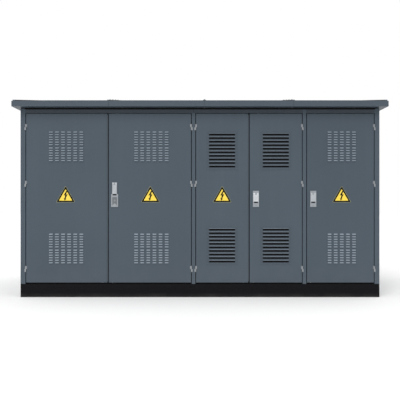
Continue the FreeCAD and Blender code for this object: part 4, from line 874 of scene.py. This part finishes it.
EDGE_WIDTH = 0.0022
BORDER_WIDTH = 0.0160
BOLT_SIZE = 0.47
BOLT_HEIGHT = 0.40
EDGE_ROUND = 0.008
BORDER_ROUND = 0.007
FIELD_ROUND = 0.004
EDGE_FACE = 0.55
BORDER_LAYER = (0.5, 0.7)
FIELD_LAYER = (0.6, 0.8)
BOLT_LAYER = (0.7, 0.95)
BOLT_SHAPE = [(0.08, 0.56), (-0.22, 0.02), (-0.03, 0.05), (-0.12, -0.30), (-0.20, -0.24),
              (-0.10, -0.56), (0.09, -0.32), (-0.01, -0.34), (0.23, 0.17), (0.04, 0.13),
              (0.22, 0.56)]
for i in (1, 2, 3, 5):
    low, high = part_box("door_%d_sign" % i)
    side = high.x - low.x
    middle = (low.x + high.x) / 2
    centroid = low.z + side * math.sqrt(3) / 6

    def nested(inset, radius):
        """The triangle again, smaller by an even inset all round."""
        smaller = side - inset * 2 * math.sqrt(3)
        return rounded_triangle(middle, centroid - smaller * math.sqrt(3) / 6, smaller, radius)

    def fill_sign(shape):
        """The laminate, its black border, its yellow field and the bolt, one over another."""
        thick = high.y - low.y

        def layer(outline, span, material_index):
            """One sheet of the plate, between two shares of its thickness."""
            slab(shape, outline, high.y - thick * span[0], high.y - thick * span[1],
                 material_index)

        layer(nested(0.0, EDGE_ROUND), (0.0, EDGE_FACE), 1)
        layer(nested(EDGE_WIDTH, BORDER_ROUND), BORDER_LAYER, 2)
        layer(nested(EDGE_WIDTH + BORDER_WIDTH, FIELD_ROUND), FIELD_LAYER, 0)
        reach = side * BOLT_SIZE
        foot = low.z + (high.z - low.z) * BOLT_HEIGHT
        layer([(middle + x * reach, foot + z * reach) for x, z in BOLT_SHAPE], BOLT_LAYER, 2)

    plate = build("door_%d_hazard_plate" % i, fill_sign, [sign_yellow, sign_edge, sign_black],
                  "door_%d" % i, smooth=False)
    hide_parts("door_%d_sign" % i)


# The transformer: a corrugated oil tank with a bolted lid on two skids, sprayed in a blue-grey
# enamel, with the cast aluminium hand knob of its tap changer.
tank_enamel = powder_coat("blue_grey_enamel", (0.10, 0.125, 0.135), 0.36, 0.20)
paint(tank_enamel, "transformer_tank")
soften(0.0015, "transformer_tank")
tank_low, tank_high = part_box("transformer_tank")
LID_HALF_DEPTH = 0.265
LID_BOLT_ACROSS = 0.009
LID_EDGE = 0.016
LID_BAYS_LONG = 9
LID_BAYS_SHORT = 5
LID_BOLT_SUNK = 0.0003


def fill_lid_bolts(shape):
    """Hexagon bolts all round the lid."""
    left, right = tank_low.x + LID_EDGE, tank_high.x - LID_EDGE
    deep = LID_HALF_DEPTH - LID_EDGE
    spots = [(left + (right - left) * k / LID_BAYS_LONG, y)
             for k in range(LID_BAYS_LONG + 1) for y in (-deep, deep)]
    spots += [(x, -deep + 2 * deep * k / LID_BAYS_SHORT)
              for k in range(1, LID_BAYS_SHORT) for x in (left, right)]
    for x, y in spots:
        hex_screw(shape, (x, y, tank_high.z - LID_BOLT_SUNK), (0, 0, 1), LID_BOLT_ACROSS)


build("tank_lid_bolts", fill_lid_bolts, [screw_zinc], "enclosure")
tap_alloy = bright_metal("cast_aluminium", (0.66, 0.67, 0.68), 0.42, (12.0, 12.0, 12.0))
paint(tap_alloy, "tap_changer_knob")


# The bushings: glazed brown porcelain on the high-voltage side, pale epoxy on the other.
def glaze(name, colour, darker, roughness):
    """A fired glaze: pooled darker colour, a clear gloss and faint crazing."""
    made, tree, shader = finish(name)
    shader.inputs["Coat Weight"].default_value = 0.6
    shader.inputs["Coat Roughness"].default_value = 0.06
    feed(tree, shader,
         mix(tree, patches(tree, 20.0, 4.0), colour, darker),
         remap(tree, noise(tree, 90.0), 0.3, 0.7, roughness - 0.04, roughness + 0.06),
         bump(tree, noise(tree, 60.0, 3.0), 0.0003, 0.2))
    return made


paint(glaze("brown_porcelain", (0.16, 0.045, 0.022), (0.07, 0.018, 0.010), 0.16), "hv_bushings")
paint(glaze("cream_epoxy", (0.62, 0.56, 0.46), (0.50, 0.43, 0.33), 0.30), "lv_bushings")


# The conductors: bare drawn copper bars, tarnishing in patches, and single-core cables in a
# red sheath, each ending in a plated lug under a black shrunk boot with three skirts.
copper, tree, shader = finish("tarnished_copper", 1.0)
tarnish = remap(tree, noise(tree, 9.0, 6.0), 0.42, 0.72, 0.0, 0.8)
feed(tree, shader, mix(tree, tarnish, (0.90, 0.46, 0.27), (0.38, 0.17, 0.10)),
     remap(tree, noise(tree, 18.0, 4.0), 0.3, 0.7, 0.26, 0.46),
     bump(tree, noise(tree, 30.0, 3.0, (1.0, 40.0, 40.0)), 0.0002, 0.3))
paint(copper, "busbars")
soften(0.0008, "busbars")
sheath, tree, shader = finish("red_cable_sheath")
feed(tree, shader,
     mix(tree, patches(tree, 25.0, 4.0), (0.38, 0.030, 0.022), (0.46, 0.045, 0.030)),
     remap(tree, noise(tree, 70.0), 0.3, 0.7, 0.42, 0.58),
     bump(tree, noise(tree, 180.0, 2.0), 0.0003, 0.3))
paint(sheath, "hv_cables")
shrink, tree, shader = finish("black_heat_shrink")
feed(tree, shader,
     mix(tree, patches(tree, 60.0, 3.0), (0.012, 0.012, 0.013), (0.030, 0.029, 0.028)),
     remap(tree, noise(tree, 120.0), 0.3, 0.7, 0.36, 0.5),
     bump(tree, noise(tree, 90.0, 2.0), 0.0006, 0.3))
cable_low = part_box("hv_cables")[0]
LUG_HIGH = 0.040
LUG_RADIUS = 0.0125
LUG_RINGS = [(0.0, LUG_RADIUS), (0.012, LUG_RADIUS), (0.014, LUG_RADIUS * 1.03),
             (LUG_HIGH, LUG_RADIUS * 1.03)]
LUG_LIFT = 0.0005
BOOT_HIGH = 0.055
BOOT_RADIUS = 0.0185
BOOT_FOOT = [(LUG_HIGH - 0.004, LUG_RADIUS * 1.1), (LUG_HIGH + 0.004, BOOT_RADIUS)]
SKIRT_RINGS = ((0.0, 1.0), (0.001, 1.5), (0.006, 1.06))
FIRST_SKIRT = 0.008
SKIRT_STEP = 0.014
CABLE_SIDES = 24
CABLE_ROWS = (-0.190, 0.0, 0.190)
CABLE_X = 0.856


def fill_cable_ends(shape):
    """A plated lug barrel and a shrunk boot with three skirts over each cable end."""
    for y in CABLE_ROWS:
        foot = (CABLE_X, y, cable_low.z + LUG_LIFT)
        turned(shape, foot, (0, 0, 1), LUG_RINGS, CABLE_SIDES, 1)
        rings = list(BOOT_FOOT)
        for k in range(3):
            base = LUG_HIGH + FIRST_SKIRT + k * SKIRT_STEP
            rings += [(base + along, BOOT_RADIUS * share) for along, share in SKIRT_RINGS]
        rings.append((LUG_HIGH + BOOT_HIGH, BOOT_RADIUS))
        turned(shape, foot, (0, 0, 1), rings, CABLE_SIDES, 0)


build("cable_boots", fill_cable_ends, [shrink, screw_zinc], "enclosure")


# The two switch cabinets: folded sheet boxes in a fine light-grey structured coat, with black
# moulded breakers, a red main switch grip and a black ring switch grip on their fronts.
cabinet_coat = powder_coat("light_grey_structure_coat", (0.56, 0.57, 0.55), 0.52, 0.12, 0.0008)
paint(cabinet_coat, "lv_board", "rmu_cabinet")
soften(0.0015, "lv_board", "rmu_cabinet")


def moulded(name, colour, paler, roughness):
    """Moulded plastic: a fine spark texture and a slight scuffing."""
    made, tree, shader = finish(name)
    scuff = remap(tree, noise(tree, 22.0, 5.0), 0.5, 0.75, 0.0, 0.8)
    feed(tree, shader, mix(tree, scuff, colour, paler),
         remap(tree, noise(tree, 60.0), 0.3, 0.7, roughness - 0.05, roughness + 0.08),
         bump(tree, noise(tree, 900.0, 2.0), 0.0002, 0.5))
    return made


breaker_plastic = moulded("black_breaker_plastic", (0.022, 0.023, 0.025), (0.06, 0.06, 0.062),
                          0.46)
paint(breaker_plastic, "lv_breakers")
soften(0.0015, "lv_breakers")
grip_plastic = moulded("red_grip_plastic", (0.42, 0.020, 0.016), (0.52, 0.06, 0.05), 0.38)
paint(grip_plastic, "lv_breaker_grip")
paint(moulded("black_grip_plastic", (0.018, 0.018, 0.019), (0.05, 0.05, 0.05), 0.40), "rmu_grip")
soften(0.001, "lv_breaker_grip", "rmu_grip")


# The switchboard fittings: needle meters and signal lamps snapped into the head of the board,
# a grey escutcheon with a black toggle on each feeder breaker, and screws down the cover.
meter_white = moulded("meter_dial_white", (0.78, 0.78, 0.75), (0.84, 0.84, 0.82), 0.35)
lamp_red = moulded("lamp_lens_red", (0.55, 0.015, 0.012), (0.62, 0.04, 0.03), 0.18)
lamp_green = moulded("lamp_lens_green", (0.02, 0.30, 0.06), (0.04, 0.36, 0.09), 0.18)
toggle_grey = moulded("toggle_grey_plastic", (0.30, 0.31, 0.32), (0.40, 0.40, 0.41), 0.42)
board_low, board_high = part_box("lv_board")
breaker_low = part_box("lv_breakers")[0]
FRONT_INSET = 0.020
HEAD_DROP = 0.14
board_face = board_low.y + FRONT_INSET
board_middle = (board_low.x + board_high.x) / 2
METER_STEP = 0.16
BEZEL = 0.048
BEZEL_DEEP = 0.012
DIAL_OUT = 0.0121
DIAL_RINGS = [(0.0, BEZEL * 0.86), (0.0014, BEZEL * 0.84)]
NEEDLE_REST = -35
NEEDLE_SPREAD = 22
NEEDLE_SHARE = 0.7
NEEDLE_HALF = 0.0009
NEEDLE_THICK = 0.0006
HUB_OUT = 0.0138
HUB_SHARE = 0.35
HUB_RINGS = [(-0.0012, 0.004), (0.0008, 0.005)]
LAMP_ASIDE = 0.37
LAMP_STEP = 0.07
LAMP_LENSES = ((-1, 2), (0, 2), (1, 3))
COLLAR_RINGS = [(0.0, 0.016), (0.006, 0.016), (0.007, 0.0135)]
LENS_RINGS = [(0.005, 0.0115), (0.013, 0.0105), (0.016, 0.006)]
FEEDER_STEP = 0.20
FEEDER_RISE = 0.13
SHIELD_WIDE = 0.030
SHIELD_HIGH = 0.045
SHIELD_OUT = 0.0006
SHIELD_IN = 0.002
TOGGLE_WIDE = 0.011
TOGGLE_OUT = 0.018
TOGGLE_IN = 0.001
TOGGLE_SPAN = (0.004, 0.026)
COVER_ASIDE = 0.03
COVER_END = 0.05
COVER_RINGS = [(0.0, 0.006), (0.002, 0.0058), (0.0032, 0.004)]


def fill_needle(shape, x, z, sweep):
    """A flat pointer over the dial of a meter, with the boss it turns on."""
    tip = Vector((math.sin(sweep), 0, math.cos(sweep))) * BEZEL * NEEDLE_SHARE
    side = Vector((math.cos(sweep), 0, -math.sin(sweep))) * NEEDLE_HALF
    hub = Vector((x, board_face - HUB_OUT, z - BEZEL * HUB_SHARE))
    needle = [shape.verts.new(hub + side), shape.verts.new(hub - side),
              shape.verts.new(hub + tip)]
    back = [shape.verts.new(v.co + Vector((0, NEEDLE_THICK, 0))) for v in needle]
    shape.faces.new(needle)
    shape.faces.new(back)
    for n in range(3):
        shape.faces.new((needle[n], needle[(n + 1) % 3], back[(n + 1) % 3], back[n]))
    turned(shape, hub, (0, 1, 0), HUB_RINGS, 16)


def fill_board(shape):
    """Three needle meters, three lamps, a toggle on each feeder breaker and cover screws."""
    for k in (-1, 0, 1):
        x, z = board_middle + k * METER_STEP, board_high.z - HEAD_DROP
        block(shape, (x - BEZEL, board_face - BEZEL_DEEP, z - BEZEL),
              (x + BEZEL, board_face, z + BEZEL))
        turned(shape, (x, board_face - DIAL_OUT, z), (0, -1, 0), DIAL_RINGS, 36, 1)
        fill_needle(shape, x, z, math.radians(NEEDLE_REST + NEEDLE_SPREAD * k))
    for k, lens in LAMP_LENSES:
        spot = (board_middle + LAMP_ASIDE + k * LAMP_STEP, board_face, board_high.z - HEAD_DROP)
        turned(shape, spot, (0, -1, 0), COLLAR_RINGS, 24)
        turned(shape, spot, (0, -1, 0), LENS_RINGS, 24, lens)
    for k in range(-2, 3):
        x, z = board_middle + k * FEEDER_STEP, breaker_low.z + FEEDER_RISE
        block(shape, (x - SHIELD_WIDE, breaker_low.y - SHIELD_OUT, z - SHIELD_HIGH),
              (x + SHIELD_WIDE, breaker_low.y + SHIELD_IN, z + SHIELD_HIGH), 4)
        block(shape, (x - TOGGLE_WIDE, breaker_low.y - TOGGLE_OUT, z + TOGGLE_SPAN[0]),
              (x + TOGGLE_WIDE, breaker_low.y + TOGGLE_IN, z + TOGGLE_SPAN[1]))
    for x in (board_low.x + COVER_ASIDE, board_high.x - COVER_ASIDE):
        for z in (board_low.z + COVER_END, (board_low.z + board_high.z) / 2,
                  board_high.z - COVER_END):
            turned(shape, (x, board_face, z), (0, -1, 0), COVER_RINGS, 16, 4)


build("switchboard_fittings", fill_board,
      [breaker_plastic, meter_white, lamp_red, lamp_green, toggle_grey],
      "enclosure", rounding=0.0006)


# The ring unit fittings: the one-line diagram in black plastic strip on the cover of the
# mechanism, and a pressure gauge and three test sockets screwed into the plate above it.
rmu_low, rmu_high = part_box("rmu_cabinet")
MECH_DEEP = 0.060
rmu_face = rmu_low.y + MECH_DEEP
rmu_middle = (rmu_low.x + rmu_high.x) / 2
DIAGRAM_FOOT = 1.052
DIAGRAM = (((-0.15, 0.27), (0.15, 0.275)), ((-0.0025, 0.20), (0.0025, 0.27)),
           ((-0.15, 0.24), (-0.145, 0.27)), ((0.145, 0.24), (0.15, 0.27)))
LINE_OUT = 0.0006
LINE_IN = 0.001
GAUGE_DROP = 0.13
GAUGE_ASIDE = 0.15
GAUGE_CASE = [(-0.0002, 0.040), (0.012, 0.040), (0.014, 0.036)]
GAUGE_DIAL = [(0.013, 0.034), (0.0146, 0.034)]
SOCKETS_ASIDE = 0.10
SOCKET_STEP = 0.05
SOCKET_RINGS = [(-0.0002, 0.012), (0.008, 0.012), (0.009, 0.008)]


def fill_ring_unit(shape):
    """A one-line diagram in black strip, a pressure gauge and three test sockets."""
    for low, high in DIAGRAM:
        block(shape, (rmu_middle + low[0], rmu_low.y - LINE_OUT, DIAGRAM_FOOT + low[1]),
              (rmu_middle + high[0], rmu_low.y + LINE_IN, DIAGRAM_FOOT + high[1]))
    gauge = (rmu_middle + GAUGE_ASIDE, rmu_face, rmu_high.z - GAUGE_DROP)
    turned(shape, gauge, (0, -1, 0), GAUGE_CASE, 36)
    turned(shape, gauge, (0, -1, 0), GAUGE_DIAL, 36, 1)
    for k in (-1, 0, 1):
        spot = (rmu_middle - SOCKETS_ASIDE + k * SOCKET_STEP, rmu_face, rmu_high.z - GAUGE_DROP)
        turned(shape, spot, (0, -1, 0), SOCKET_RINGS, 20, 2)


build("ring_unit_fittings", fill_ring_unit, [breaker_plastic, meter_white, toggle_grey],
      "enclosure")
